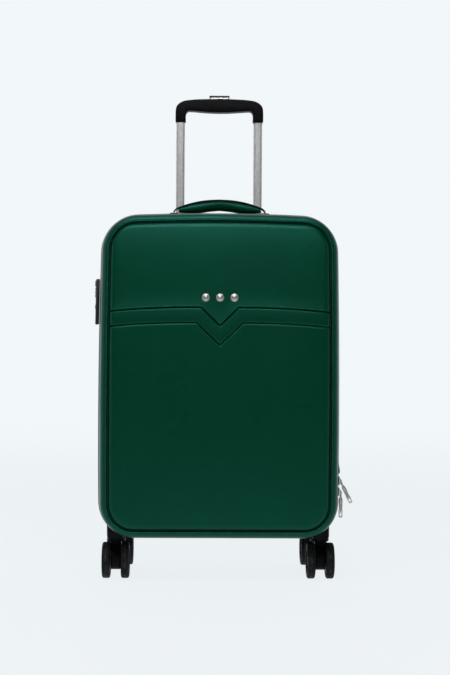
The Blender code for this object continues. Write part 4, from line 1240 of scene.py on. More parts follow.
def plate(fronts: Sequence[Ring], backs: Sequence[Ring]) -> Build:
    """A slab from a grid of front points and the matching back points, closed round its rim.

    Args:
        fronts: rows of points on the face.
        backs: the same rows on the back, of which only the rim is used.

    Returns:
        The slab, its cloth map in metres.
    """
    build = bmesh.new()
    lie = build.loops.layers.uv.new("lie")
    grid = [[build.verts.new(point) for point in row] for row in fronts]
    for one, two in pairwise(grid):
        for i in range(len(one) - 1):
            build.faces.new((one[i], one[i + 1], two[i + 1], two[i]))
    last = len(grid) - 1
    end = len(grid[0]) - 1
    trail = [(0, i) for i in range(end + 1)] + [(j, end) for j in range(1, last + 1)]
    trail += [(last, i) for i in range(end - 1, -1, -1)] + [(j, 0) for j in range(last - 1, 0, -1)]
    rim = [build.verts.new(backs[j][i]) for j, i in trail]
    for k, (j, i) in enumerate(trail):
        nj, ni = trail[(k + 1) % len(trail)]
        build.faces.new((grid[j][i], grid[nj][ni], rim[(k + 1) % len(rim)], rim[k]))
    build.faces.new(rim)
    for face in build.faces:
        for loop in face.loops:
            loop[lie].uv = (loop.vert.co.x, loop.vert.co.z)
    return build


# ---------------------------------------------------------------- zip and hinge


@dataclass(frozen=True)
class Zip:
    """Both tapes, both rows of teeth, the sliders and their pulls, and the cloth hinge."""

    shape: CaseShape = SHAPE
    tape_sink: float = 0.001
    tape_deep: float = 0.0028
    tooth_pitch: float = 0.0021
    tooth_wide: float = 0.0022
    tooth_tall: float = 0.0014
    slider_h: float = 0.0016
    slider_d: float = 0.01
    pull_wide: float = 0.006
    pull_thick: float = 0.0022
    upper_tilt: float = math.radians(26.0)
    flare: float = 0.0046
    flare_z: float = 0.165

    def tooth(self) -> Build:
        """One tooth, X along the zip, Z out, its head towards -Y."""
        wide, tall = self.tooth_wide, self.tooth_tall
        rings = []
        for y, size, sink in ((-0.52, 0.55, 0.1), (-0.4, 1.0, 0.0), (-0.05, 0.92, 0.0), (0.1, 0.62, 0.06),
                              (0.5, 0.62, 0.3)):
            half = self.tooth_pitch * 0.3 * size
            low, high = -tall * 0.8, tall * (0.2 - sink)
            rings.append([(-half, y * wide, low), (half, y * wide, low), (half, y * wide, high * 0.4),
                          (half * 0.6, y * wide, high), (-half * 0.6, y * wide, high),
                          (-half, y * wide, high * 0.4)])
        return loft(rings)

    def build_tapes(self, rows: RowTree) -> None:
        """A woven tape and a row of teeth on each side of the opening."""
        shape = self.shape
        way = shape.zip_way()
        for side, body, node in ((1, "case", "zip_tape_case"), (-1, "lid", "zip_tape_lid")):
            near, far = shape.zip_y + side * 0.0004, shape.zip_y + side * (shape.zip_half - GAP)
            cord = shape.zip_y + side * 0.003
            section = [(near, -self.tape_deep), (near, -0.0016), (cord - side * 0.0006, -0.0012),
                       (cord, -self.tape_sink + 0.0003), (cord + side * 0.0006, -0.0012),
                       (far, -self.tape_sink - 0.0002), (far, -self.tape_deep)]
            lines = [shape.ring(y, shape.swell(y) + out, way) for y, out in section]
            tape = make(f"zip_cloth_{body}", loft([list(ring) for ring in zip(*lines)]), 60)
            dress(tape, body, TAPE, node)
            line = shape.line(shape.zip_y + side * 0.001, -0.0001, way if side > 0 else list(reversed(way)))
            shift = self.tooth_pitch / 2 if side < 0 else 0.0
            points = list(line.points)
            first = Vector(points[0])
            points[0] = tuple(first + (Vector(points[1]) - first).normalized() * shift)
            rows.lay(f"zip_teeth_{body}", body, [Line(points, line.outs)], self.tooth(), TEETH,
                     self.tooth_pitch)

    def flared(self, z: float) -> float:
        """How much of its flare the hinge has at a height: most just above the upper slider."""
        above = (z - self.flare_z) / 0.016
        return math.exp(-above) if above > 0 else math.exp(-((above * 4) ** 2))

    def build_hinge(self) -> None:
        """The pleated strip of leather that the lid turns on."""
        shape = self.shape
        way = replace(shape, flat_steps=40).hinge_way(0.0006)
        half = shape.zip_half - 2 * GAP
        section = []
        for share in spread(-1.0, 1.0, 21):
            fold = 0.0007 * math.cos(3 * math.pi * share)
            section.append((shape.zip_y + share * half, -0.0019 + fold - 0.0003 * (1 - share**2),
                            1 - share**2))
        under = [(y, out - 0.0009, bulge) for y, out, bulge in reversed(section)]
        lines = []
        for y, out, bulge in section + under:
            ring = shape.ring(y, shape.swell(y) + out, way)
            lines.append([(x + self.flare * bulge * self.flared(z), py, z) for x, py, z in ring])
        gusset = make("pleated_hinge", loft([list(ring) for ring in zip(*lines)]), 60)
        gusset.data.materials.append(BAND_LEATHER.material())
        mark_edges(gusset.data)
        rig.replaces(gusset, "hinge_gusset")
        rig.slot(gusset, BAND_LEATHER.slot)
        mid_x, mid_z = shape.side_x(0.3, shape.zip_y), 0.3
        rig.blend(gusset, "case", "lid", start=(mid_x, shape.zip_y + half, mid_z),
                 end=(mid_x, shape.zip_y - half, mid_z))
        tall = shape.gusset_top_z - shape.zip_end_z
        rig.sheet(gusset, flat=(2 * half * 1.12, tall), held="stretched", rests_on=["side_band", "lid_band"])
        LOG.info("pleated_hinge bends between case and lid")

    def build_slider(self, node: str, pull_node: str) -> Vector:
        """A slider's plate, ears and pin.

        Args:
            node: the slider's node, which gives its place.
            pull_node: the node of the pull on it.

        Returns:
            The pin's middle.
        """
        low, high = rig.box(node)
        y, mid_z, length = self.shape.zip_y, (low.z + high.z) / 2, high.z - low.z
        x = low.x
        half = self.slider_d / 2
        outline = [(y - half, mid_z + length * 0.42), (y - half * 0.5, mid_z + length / 2),
                   (y + half * 0.5, mid_z + length / 2), (y + half, mid_z + length * 0.42),
                   (y + half * 0.9, mid_z - length * 0.05), (y + half * 0.62, mid_z - length / 2),
                   (y - half * 0.62, mid_z - length / 2), (y - half * 0.9, mid_z - length * 0.05)]
        slider = soften(make(node + "_body", prism(outline, x, x + self.slider_h, "X")), 0.0005, 3)
        pin_x, pin_z = high.x - 0.0016, mid_z - 0.0018
        ear = [(x + 0.0008, pin_z - 0.004), (pin_x + 0.0004, pin_z - 0.003),
               (pin_x + 0.0013, pin_z - 0.0018), (pin_x + 0.0017, pin_z), (pin_x + 0.0013, pin_z + 0.0024),
               (pin_x, pin_z + 0.0044), (x + 0.0008, pin_z + 0.0062)]
        inner = self.pull_thick / 2 + GAP
        parts = [prism(ear, *sorted((y + way * inner, y + way * (inner + 0.0014))), "Y") for way in (-1, 1)]
        parts.append(prism(circle(pin_x, pin_z, 0.0008, 12), y - inner - 0.0005, y + inner + 0.0005, "Y"))
        cut(slider, parts, "UNION")
        dress(slider, {"upper_slider": "case"}.get(node, node), NICKEL, node)
        LOG.info("%s carries %s", node, pull_node)
        return Vector((pin_x, y, pin_z))

    def build_pull(self, node: str, pin: Vector, length: float, tilt: float) -> None:
        """A pull: an eye on the pin, a waisted stem and a square ring at its end.

        Args:
            node: the pull's node.
            pin: the pin's middle.
            length: from pin to end.
            tilt: how far it is swung out at rest.
        """
        half = self.pull_wide / 2
        side = [(0.0, 0.0017), (0.0011, 0.0014), (0.0017, 0.0), (0.0013, -0.0026), (0.0014, -0.006),
                (0.0022, -0.0078), (half - 0.0002, -0.01), (half, -0.0125), (half * 0.86, -length * 0.62),
                (half, -length + 0.01), (half, -length + 0.0014), (half - 0.001, -length)]
        outline = side + [(-x, z) for x, z in reversed(side[1:])]
        place = Matrix.Translation(pin) @ Matrix.Rotation(-tilt, 4, "Y")
        thick = self.pull_thick / 2
        pull = make(node + "_tab", prism(outline, -thick, thick, "Y"))
        window = rounded(0.0, -length + 0.0046, self.pull_wide - 0.0034, 0.004, 0.0006, 4)
        wide_slot = rounded(0.0, -length * 0.52, self.pull_wide, length * 0.24, 0.002, 4)
        slot = [(x * 0.3, z) for x, z in wide_slot]
        cut(pull, [prism(circle(0, 0, 0.00095, 14), -0.01, 0.01, "Y"), prism(window, -0.01, 0.01, "Y"),
                   prism(slot, thick - 0.0002, 0.01, "Y"), prism(slot, -0.01, -thick + 0.0002, "Y")])
        soften(pull, 0.0004, 2, 50)
        pull.data.transform(place)
        dress(pull, node, NICKEL, node)

    def build(self, rows: RowTree) -> None:
        """Makes the zip and the hinge."""
        self.build_tapes(rows)
        self.build_hinge()
        pin = self.build_slider("upper_slider", "upper_pull")
        self.build_pull("upper_pull", pin, 0.0358, self.upper_tilt)
        pin = self.build_slider("lower_slider", "lower_pull")
        self.build_pull("lower_pull", pin, 0.038, 0.0)


# ---------------------------------------------------------------- trolley handle


@dataclass(frozen=True)
class Trolley:
    """The telescopic handle: tubes, pull grip, push button and the well that takes them."""

    wall: float = 0.0012
    corner: float = 0.0032
    lip: float = 0.0035
    grip_round: float = 0.0034
    socket: float = 0.016

    def build_tube(self, node: str, body: str) -> None:
        """One drawn tube with its edges eased, and on a middle tube the plastic ring in its mouth."""
        low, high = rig.box(node)
        cx, cy = (low.x + high.x) / 2, (low.y + high.y) / 2
        wide, deep = high.x - low.x, high.y - low.y
        rows = [(0.0, low.z + 0.0003, 0.0003), (0.0, low.z, 0.0006), (self.wall, low.z, 0.0),
                (self.wall, high.z, 0.0), (0.0, high.z, 0.0006), (0.0, high.z - 0.0003, 0.0003)]
        rings = []
        for inner, z, ease in rows:
            inset = inner + ease * (1 if z in (low.z, high.z) else 0) * (0 if inner else 1)
            points = rounded(cx, cy, wide - 2 * inset, deep - 2 * inset, self.corner - inset * 0.8)
            rings.append(level(points, z))
        dress(make(f"drawn_{node}", loft(rings, closed=True), 30), body, ANODISED, node)
        if body == "trolley_middle":
            outer = rounded(cx, cy, wide - 0.0006, deep - 0.0006, self.corner)
            inner = rounded(cx, cy, wide - 0.0033, deep - 0.0033, self.corner - 0.0012)
            rings = [level(outer, high.z - 0.004), level(outer, high.z + 0.0002),
                     level(inner, high.z + 0.0002), level(inner, high.z - 0.004)]
            dress(make(f"mouth_ring_{node}", loft(rings, closed=True)), body, PLASTIC)

    def grip_line(self) -> list[tuple[float, float]]:
        """The grip from the front: two legs and an arched bar, smooth all round."""
        low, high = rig.box("trolley_grip")
        half, top, foot = high.x, high.z, low.z
        under, inner = top - 0.0223, half - 0.017
        over = [(0.0, top), (0.03, top - 0.0008), (0.0434, top - 0.0016), (0.0565, top - 0.0034),
                (0.064, top - 0.0068), (0.069, top - 0.0118), (half - 0.0004, top - 0.0175),
                (half, top - 0.024)]
        arch = [(inner, foot), (inner + 0.0004, under - 0.006), (inner - 0.0002, under - 0.002),
                (inner - 0.0022, under + 0.0012), (inner - 0.0062, under + 0.0026), (0.0304, under + 0.0014),
                (0.014, under + 0.0003), (0.0, under)]
        right = flowing(over, 4) + [(half, foot)] + [arch[0]] + flowing(arch[1:], 3)
        return right + [(-x, z) for x, z in reversed(right[1:-1])]

    def build_grip(self) -> None:
        """The moulded pull grip with its sockets and the button's pocket."""
        low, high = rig.box("trolley_grip")
        button_low, button_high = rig.box("grip_button")
        grip = make("pull_grip", prism(self.grip_line(), low.y, high.y, "Y"))
        soften(grip, self.grip_round, 5, 50)
        fit = 0.0004
        cutters = [block((button_low.x - fit, button_low.y - fit, button_low.z - 0.0043),
                         (button_high.x + fit, button_high.y + fit, high.z + 0.02))]
        for _, side in SIDES:
            t_low, t_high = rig.box("inner_tube_" + side)
            points = rounded((t_low.x + t_high.x) / 2, (t_low.y + t_high.y) / 2, t_high.x - t_low.x + fit,
                             t_high.y - t_low.y + fit, self.corner)
            cutters.append(prism(points, low.z - 0.01, low.z + self.socket, "Z"))
        cut(grip, cutters)
        dress(grip, "trolley_inner", PLASTIC, "trolley_grip")
        self.build_button(button_low, button_high)

    def build_button(self, low: Vector, high: Vector) -> None:
        """The push button: a smoked cap on a bright collar."""
        cx, cy, wide, deep = 0.0, (low.y + high.y) / 2, high.x - low.x, high.y - low.y
        split = high.z - 0.0031
        for name, finish, rows in (
            ("button_collar", NICKEL, ((low.z, 0.0), (split - 0.0004, 0.0), (split, 0.0004))),
            ("button_cap", BUTTON, ((split, 0.001), (split + 0.0003, 0.0002), (split + 0.001, 0.0),
                                    (high.z - 0.0008, 0.0), (high.z - 0.0002, 0.0007), (high.z, 0.0016))),
        ):
            rings = [level(rounded(cx, cy, wide - 2 * i, deep - 2 * i, 0.0024 - i * 0.5), z) for z, i in rows]
            nodes = ("grip_button",) if finish is BUTTON else ()
            dress(make(name, loft(rings), 40), "grip_button", finish, *nodes)

    def build_cup(self, spots: RowTree) -> None:
        """The well in the top: a rolled lip, deep walls, and bezels round the tubes' holes."""
        low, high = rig.box("trolley_cup")
        cx, cy = 0.0, (low.y + high.y) / 2
        wide, deep = high.x - low.x, high.y - low.y
        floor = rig.box("middle_tube_left")[1].z + GAP
        lip = high.z - 0.0018
        rows = [(self.lip, low.z), (self.lip, lip), (0.0003, lip), (0.0, lip + 0.0006),
                (0.0004, lip + 0.0013), (0.0014, high.z), (0.005, high.z), (0.0062, high.z - 0.0005),
                (0.0069, high.z - 0.0016), (0.0072, high.z - 0.004), (0.0074, floor + 0.002),
                (0.008, floor + 0.0006), (0.0094, floor)]
        rings = []
        for inset, z in rows:
            end = inset if inset < 0.005 else inset - 0.0019
            points = rounded(cx, cy, wide - 2 * inset, deep - 2 * end, max(0.0022, 0.0062 - inset * 0.3))
            rings.append(level(points, z))
        cup = make("handle_well", loft(rings), 40)
        cutters, bezels = [], []
        for _, side in SIDES:
            t_low, t_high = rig.box("middle_tube_" + side)
            tx, tw, td = (t_low.x + t_high.x) / 2, t_high.x - t_low.x, t_high.y - t_low.y
            hole = rounded(tx, cy, tw + 2 * GAP, td + 2 * GAP, self.corner)
            cutters.append(prism(hole, low.z - 0.01, floor + 0.01, "Z"))
            bezels.append((tx, tw, td))
        cut(cup, cutters)
        dress(cup, "case", PLASTIC, "trolley_cup")
        for (tx, tw, td), (_, side) in zip(bezels, SIDES):
            rings = [level(rounded(tx, cy, tw + 2 * g, td + 2 * g, self.corner + g), floor + z)
                     for g, z in ((GAP, 0.0), (0.0013, 0.0), (0.0013, 0.0007), (0.0009, 0.0011),
                                  (GAP, 0.0011))]
            dress(make(f"tube_bezel_{side}", loft(rings, closed=True), 40), "case", PLASTIC)
        points = [(x, cy, floor) for x in (-0.034, 0.034)]
        lines = [Line([point], [(0, 0, 1, 1, 0, 0)]) for point in points]
        spots.lay("well_screws", "case", lines, screw_head(0.0024, 0.001), STEEL_PIN)

    def build(self, spots: RowTree) -> None:
        """Makes the handle."""
        for stage, body in (("outer", "case"), ("middle", "trolley_middle"), ("inner", "trolley_inner")):
            for _, side in SIDES:
                self.build_tube(f"{stage}_tube_{side}", body)
        self.build_grip()
        self.build_cup(spots)
        dress_node("trolley_foot", PLASTIC)


# ---------------------------------------------------------------- carry handle


@dataclass(frozen=True)
class CarryHandle:
    """The sprung strap, its padded leather grip and the two plates that it runs through."""

    shape: CaseShape = SHAPE
    half: float = 0.0722
    thick: float = 0.0016
    foot_z: float = 0.533
    top_z: float = 0.5852
    end_z: float = 0.57
    pad_half: float = 0.065
    pad_wide: float = 0.026
    pad_rest: float = 0.0011
    finger_gap: float = 0.0056
    voxel: float = 0.0016
    swell_cap: float = 0.001

    def arch(self, inner: bool) -> list[tuple[float, float]]:
        """The strap's arch from the front, as its outer or inner line."""
        t = self.thick if inner else 0.0
        half = [(self.half - t, self.foot_z), (self.half - t, self.end_z - 0.007),
                (self.half - 0.0006 - t, self.end_z - 0.003),
                (self.half - 0.0032 - t * 0.8, self.end_z + 0.0004 - t * 0.6),
                (self.half - 0.008 - t * 0.5, self.end_z + 0.003 - t * 0.9),
                (0.05 - t * 0.3, self.top_z - 0.0072 - t), (0.035, self.top_z - 0.0034 - t),
                (0.018, self.top_z - 0.0009 - t), (0.0, self.top_z - t)]
        right = flowing(half, 4)
        return [(-x, z) for x, z in right] + list(reversed(right[:-1]))

    def build_strap(self, rows: RowTree) -> None:
        """The strap, its edges eased, with a row of stitches down each edge."""
        low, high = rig.box("carry_strap")
        half = (high.y - low.y) / 2
        rings = []
        for (ox, oz), (ix, iz) in zip(self.arch(False), self.arch(True)):
            ring = []
            for side, share in ((-0.9, 0), (0.9, 0), (1.0, 0.3), (1.0, 0.7), (0.9, 1), (-0.9, 1),
                                (-1.0, 0.7), (-1.0, 0.3)):
                ring.append((ox + (ix - ox) * share, side * half, oz + (iz - oz) * share))
            rings.append(ring)
        dress(make("sprung_strap", loft(rings), 50), "carry_handle", PLASTIC, "carry_strap")
        line = [(x, z) for x, z in self.arch(False) if z > self.end_z - 0.004]
        lines = []
        for way in (-1, 1):
            points = [(x, way * half * 0.78, z + 0.0001) for x, z in line]
            outs = [(x * 6.0, 0.0, 1.0) for x, _ in line]
            lines.append(Line(points, outs))
        rows.lay("strap_stitches", "carry_handle", lines, stitch(0.0024, 0.0003), THREAD, 0.0033, 0.08)

    def pad_rings(self, slim: float) -> list[Ring]:
        """Sections of the padded grip, made slimmer by a distance."""
        shape = self.shape
        rings = []
        for share in (-1.0, -0.985, -0.95, -0.88, -0.75, -0.5, -0.25, 0.0, 0.25, 0.5, 0.75, 0.88, 0.95, 0.985,
                      1.0):
            x = share * (self.pad_half - slim)
            top = self.top_z - self.thick - GAP - 0.0098 * abs(share) ** 1.9
            under = max(shape.over_top(x, 0.0), shape.over_top(0.0, 0.0) - 0.0008) + self.pad_rest
            under += self.finger_gap * (1 - share**2) ** 5
            taper = max(0.3, 1 - abs(share) ** 6)
            tall = (top - under) / 2 * (0.62 + 0.38 * taper) - slim * 0.5
            wide = self.pad_wide / 2 * (0.8 + 0.2 * taper) - slim
            ring = []
            for i in range(28):
                turn = 2 * math.pi * (i + 0.5) / 28
                a = math.copysign(abs(math.cos(turn)) ** 0.75, math.cos(turn))
                b = math.copysign(abs(math.sin(turn)) ** 0.75, math.sin(turn))
                ring.append((x, wide * a, (top + under) / 2 + tall * b))
            rings.append(ring)
        return rings

    def puff(self, obj: Piece) -> None:
        """Lets the pad swell as a stuffed cloth, no further than the cap, and keeps the result."""
        remesh = obj.modifiers.new("cloth_net", "REMESH")
        remesh.mode = "VOXEL"
        remesh.voxel_size = self.voxel
        settle(obj, 180)
        rest = [vert.co.copy() for vert in obj.data.vertices]
        cloth = obj.modifiers.new("stuffing", "CLOTH")
        cloth.settings.use_pressure = True
        cloth.settings.uniform_pressure_force = 4.0
        cloth.settings.effector_weights.gravity = 0.0
        cloth.point_cache.frame_end = 20
        scene = bpy.context.scene
        for step in range(1, 21):
            scene.frame_set(step)
        graph = bpy.context.evaluated_depsgraph_get()
        swollen = [vert.co.copy() for vert in obj.evaluated_get(graph).data.vertices]
        obj.modifiers.clear()
        scene.frame_set(1)
        for vert, start, end in zip(obj.data.vertices, rest, swollen):
            move = end - start
            vert.co = start + move.normalized() * min(move.length, self.swell_cap)
        subdivide = obj.modifiers.new("smooth", "SUBSURF")
        subdivide.levels = 1
        subdivide.render_levels = 1
        settle(obj, 180)

    def build_pad(self, rows: RowTree) -> None:
        """The padded grip, swollen, with a stitched seam along each side."""
        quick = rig.quick()
        pad = make("padded_grip", loft(self.pad_rings(0.0 if quick else self.swell_cap * 0.6)), 70)
        if not quick:
            self.puff(pad)
        dress(pad, "carry_handle", LEATHER, "carry_grip")
        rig.padded(pad, fill=0.7)
        lines = []
        for way, pick in ((1, 2), (-1, 11)):
            ring_points = [ring[pick] for ring in self.pad_rings(0.0)[2:-2]]
            points = flowing([(x, y * 1.0, z) for x, y, z in ring_points], 4)
            lines.append(Line(points, [(0.0, way * 0.8, 1.0)] * len(points)))
        rows.lay("grip_stitches", "carry_handle", lines, stitch(0.0027, 0.00038), THREAD, 0.0036, 0.1)

    def build_anchors(self, spots: RowTree) -> None:
        """The two plates with their slots and rivets."""
        lines = []
        for _, side in SIDES:
            low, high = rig.box("handle_anchor_" + side)
            middle = (low.x + high.x) / 2
            wide, deep = high.x - low.x, high.y - low.y
            rings = []
            for rise, inset in ((0.0, 0.0), (0.0011, 0.0), (0.0018, 0.0004), (0.0022, 0.001),
                                (0.0024, 0.002)):
                points = rounded(middle, 0.0, wide - 2 * inset, deep - 2 * inset, 0.004 - inset)
                rings.append([(x, y, self.shape.over_top(x, y, GAP) + 0.0001 + rise) for x, y in points])
            plate_ = make(f"strap_plate_{side}", loft(rings), 40)
            cut(plate_, [block((middle - 0.0012, -0.0104, self.foot_z),
                               (middle + 0.0012, 0.0104, self.top_z))])
            dress(plate_, "case", PLASTIC, "handle_anchor_" + side)
            for way in (-1, 1):
                y = way * 0.0126
                point = (middle, y, self.shape.over_top(middle, y, GAP) + 0.0024)
                lines.append(Line([point], [(0, 0, 1, 1, 0, 0)]))
        spots.lay("strap_plate_rivets", "case", lines, screw_head(0.0013, 0.0007), STEEL_PIN)

    def build(self, rows: RowTree, spots: RowTree) -> None:
        """Makes the handle."""
        self.build_strap(rows)
        self.build_pad(rows)
        self.build_anchors(spots)


# ---------------------------------------------------------------- combination lock


@dataclass(frozen=True)
class Lock:
    """The side lock: body, three numbered dials, a ribbed button, a key disc and two sockets."""

    shape: CaseShape = SHAPE
    low_z: float = 0.3877
    top_z: float = 0.4575
    front_y: float = -0.064
    deep: float = 0.024
    tall: float = 0.0056
    dial_r: float = 0.003
    dial_w: float = 0.0042
    dial_proud: float = 0.0012
    dial_pitch: float = 0.0052
    dial_top_z: float = 0.4442

    def place(self) -> Matrix:
        """The lock's place on the side: local X out of the case, local Z up along it."""
        shape, y = self.shape, self.front_y + self.deep / 2
        low = Vector((-shape.side_x(self.low_z, y), y, self.low_z))
        high = Vector((-shape.side_x(self.top_z, y), y, self.top_z))
        ends = [Vector((-shape.side_x(self.low_z, d), d, self.low_z))
                for d in (self.front_y, self.front_y + self.deep)]
        up = (high - low).normalized()
        out = (ends[1] - ends[0]).cross(up).normalized()
        out = -out if out.x > 0 else out
        along = up.cross(out).normalized()
        middle = (low + high) / 2 + out * (GAP + 0.0005)
        return Matrix.Translation(middle) @ Matrix((out, along, up)).transposed().to_4x4()

    def build_body(self) -> None:
        """The body, with its windows, button well and sockets."""
        half_y, half_z = self.deep / 2, (self.top_z - self.low_z) / 2
        body = make("lock_body", block((0.0, -half_y, -half_z), (self.tall, half_y, half_z)))
        soften(body, 0.0016, 4)
        cutters = [block((0.0012, -half_y + 0.005, half_z - 0.0118),
                         (0.02, half_y - 0.005, half_z - 0.0022))]
        reach = self.dial_w / 2 + GAP
        for z in self.dial_heights():
            cutters.append(block((0.0005, -self.dial_r - GAP, z - reach),
                                 (0.02, self.dial_r + GAP, z + reach)))
        for z in (-0.02, -0.027):
            cutters.append(block((self.tall - 0.0028, -0.03, z - 0.0012),
                                 (0.02, -half_y + 0.0052, z + 0.0012)))
        line = 0.0006
        for z in (-0.0005, -0.0155):
            cutters.append(block((self.tall - line, -half_y + 0.003, z - 0.0003),
                                 (0.02, half_y - 0.003, z + 0.0003)))
        cut(body, cutters)
        body.data.transform(self.place())
        dress(body, "case", LOCK_PLASTIC, "lock_case")
        profile = [(0.0, 0.0), (0.0, 0.003), (0.0004, 0.0033), (0.0009, 0.0031), (0.001, 0.0024),
                   (0.0006, 0.0021), (0.0006, 0.0)]
        disc = make("key_disc", turned(profile, (self.tall - 0.0001, 0.0, -0.008), "X", 32), 40)
        cut(disc, [block((self.tall + 0.0002, -0.0003, -0.0096), (0.02, 0.0003, -0.0064))])
        disc.data.transform(self.place())
        dress(disc, "case", STEEL_PIN)

    def dial_heights(self) -> list[float]:
        """Local heights of the three dials."""
        first = self.dial_top_z - (self.low_z + self.top_z) / 2 - self.dial_w / 2
        return [first - i * self.dial_pitch for i in range(3)]

    def build_dials(self) -> None:
        """Three dials with eased rims and ten generic numbers each."""
        place = self.place()
        half = self.dial_w / 2
        axis_x = self.tall + self.dial_proud - self.dial_r
        for i, z in enumerate(self.dial_heights(), 1):
            rings = []
            for share, size in ((-1.0, 0.88), (-0.84, 1.0), (-0.62, 1.0), (-0.55, 0.94), (0.55, 0.94),
                                (0.62, 1.0), (0.84, 1.0), (1.0, 0.88)):
                rings.append(level(circle(axis_x, 0.0, self.dial_r * size, 30), z + share * half))
            dial = make(f"number_dial_{i}", loft(rings), 30, place)
            dress(dial, f"lock_dial_{i}", LOCK_PLASTIC, f"lock_dial_{i}")
            self.build_numbers(i, axis_x, z)

    def build_numbers(self, dial: int, axis_x: float, z: float) -> None:
        """The ten numbers round one dial, as one thin raised mesh."""
        build = bmesh.new()
        for digit in range(10):
            text = bpy.data.curves.new("digit", "FONT")
            text.body = str(digit)
            text.size = 0.0019
            text.align_x, text.align_y = "CENTER", "CENTER"
            text.extrude = 0.00006
            text.resolution_u = 1
            letter = bpy.data.objects.new("digit", text)
            bpy.context.scene.collection.objects.link(letter)
            graph = bpy.context.evaluated_depsgraph_get()
            mesh = bpy.data.meshes.new_from_object(letter.evaluated_get(graph))
            facing = Matrix(((0, 0, 1, 0), (1, 0, 0, 0), (0, 1, 0, 0), (0, 0, 0, 1)))
            turn = Matrix.Rotation(math.radians(36.0 * digit), 4, "Z")
            outward = Matrix.Translation((self.dial_r * 0.945, 0, 0))
            place = Matrix.Translation((axis_x, 0.0, z)) @ turn @ outward
            mesh.transform(place @ facing)
            build.from_mesh(mesh)
            bpy.data.objects.remove(letter)
            bpy.data.curves.remove(text)
            bpy.data.meshes.remove(mesh)
        mesh = bpy.data.meshes.new(f"dial_numbers_{dial}")
        build.to_mesh(mesh)
        build.free()
        mesh.transform(self.place())
        obj = bpy.data.objects.new(mesh.name, mesh)
        bpy.context.scene.collection.objects.link(obj)
        dress(obj, f"lock_dial_{dial}", NUMERAL, edges=False)

    def build_button(self) -> None:
        """The button, with a row of ribs to slide a thumb on."""
        half_y, half_z = self.deep / 2, (self.top_z - self.low_z) / 2
        fit = 0.0004
        low = (0.0036, -half_y + 0.005 + fit, half_z - 0.0118 + fit)
        high = (self.tall + 0.0012, half_y - 0.005 - fit, half_z - 0.0022 - fit)
        button = soften(make("lock_push", block(low, high)), 0.0008, 3)
        grooves = []
        for z in spread(low[2] + 0.002, high[2] - 0.002, 4):
            grooves.append(block((high[0] - 0.0003, low[1] + 0.0012, z - 0.0003),
                                 (0.02, high[1] - 0.0012, z + 0.0003)))
        cut(button, grooves)
        button.data.transform(self.place())
        dress(button, "lock_button", LOCK_PLASTIC, "lock_button")

    def build(self) -> None:
        """Makes the lock."""
        self.build_body()
        self.build_dials()
        self.build_button()


# ---------------------------------------------------------------- casters


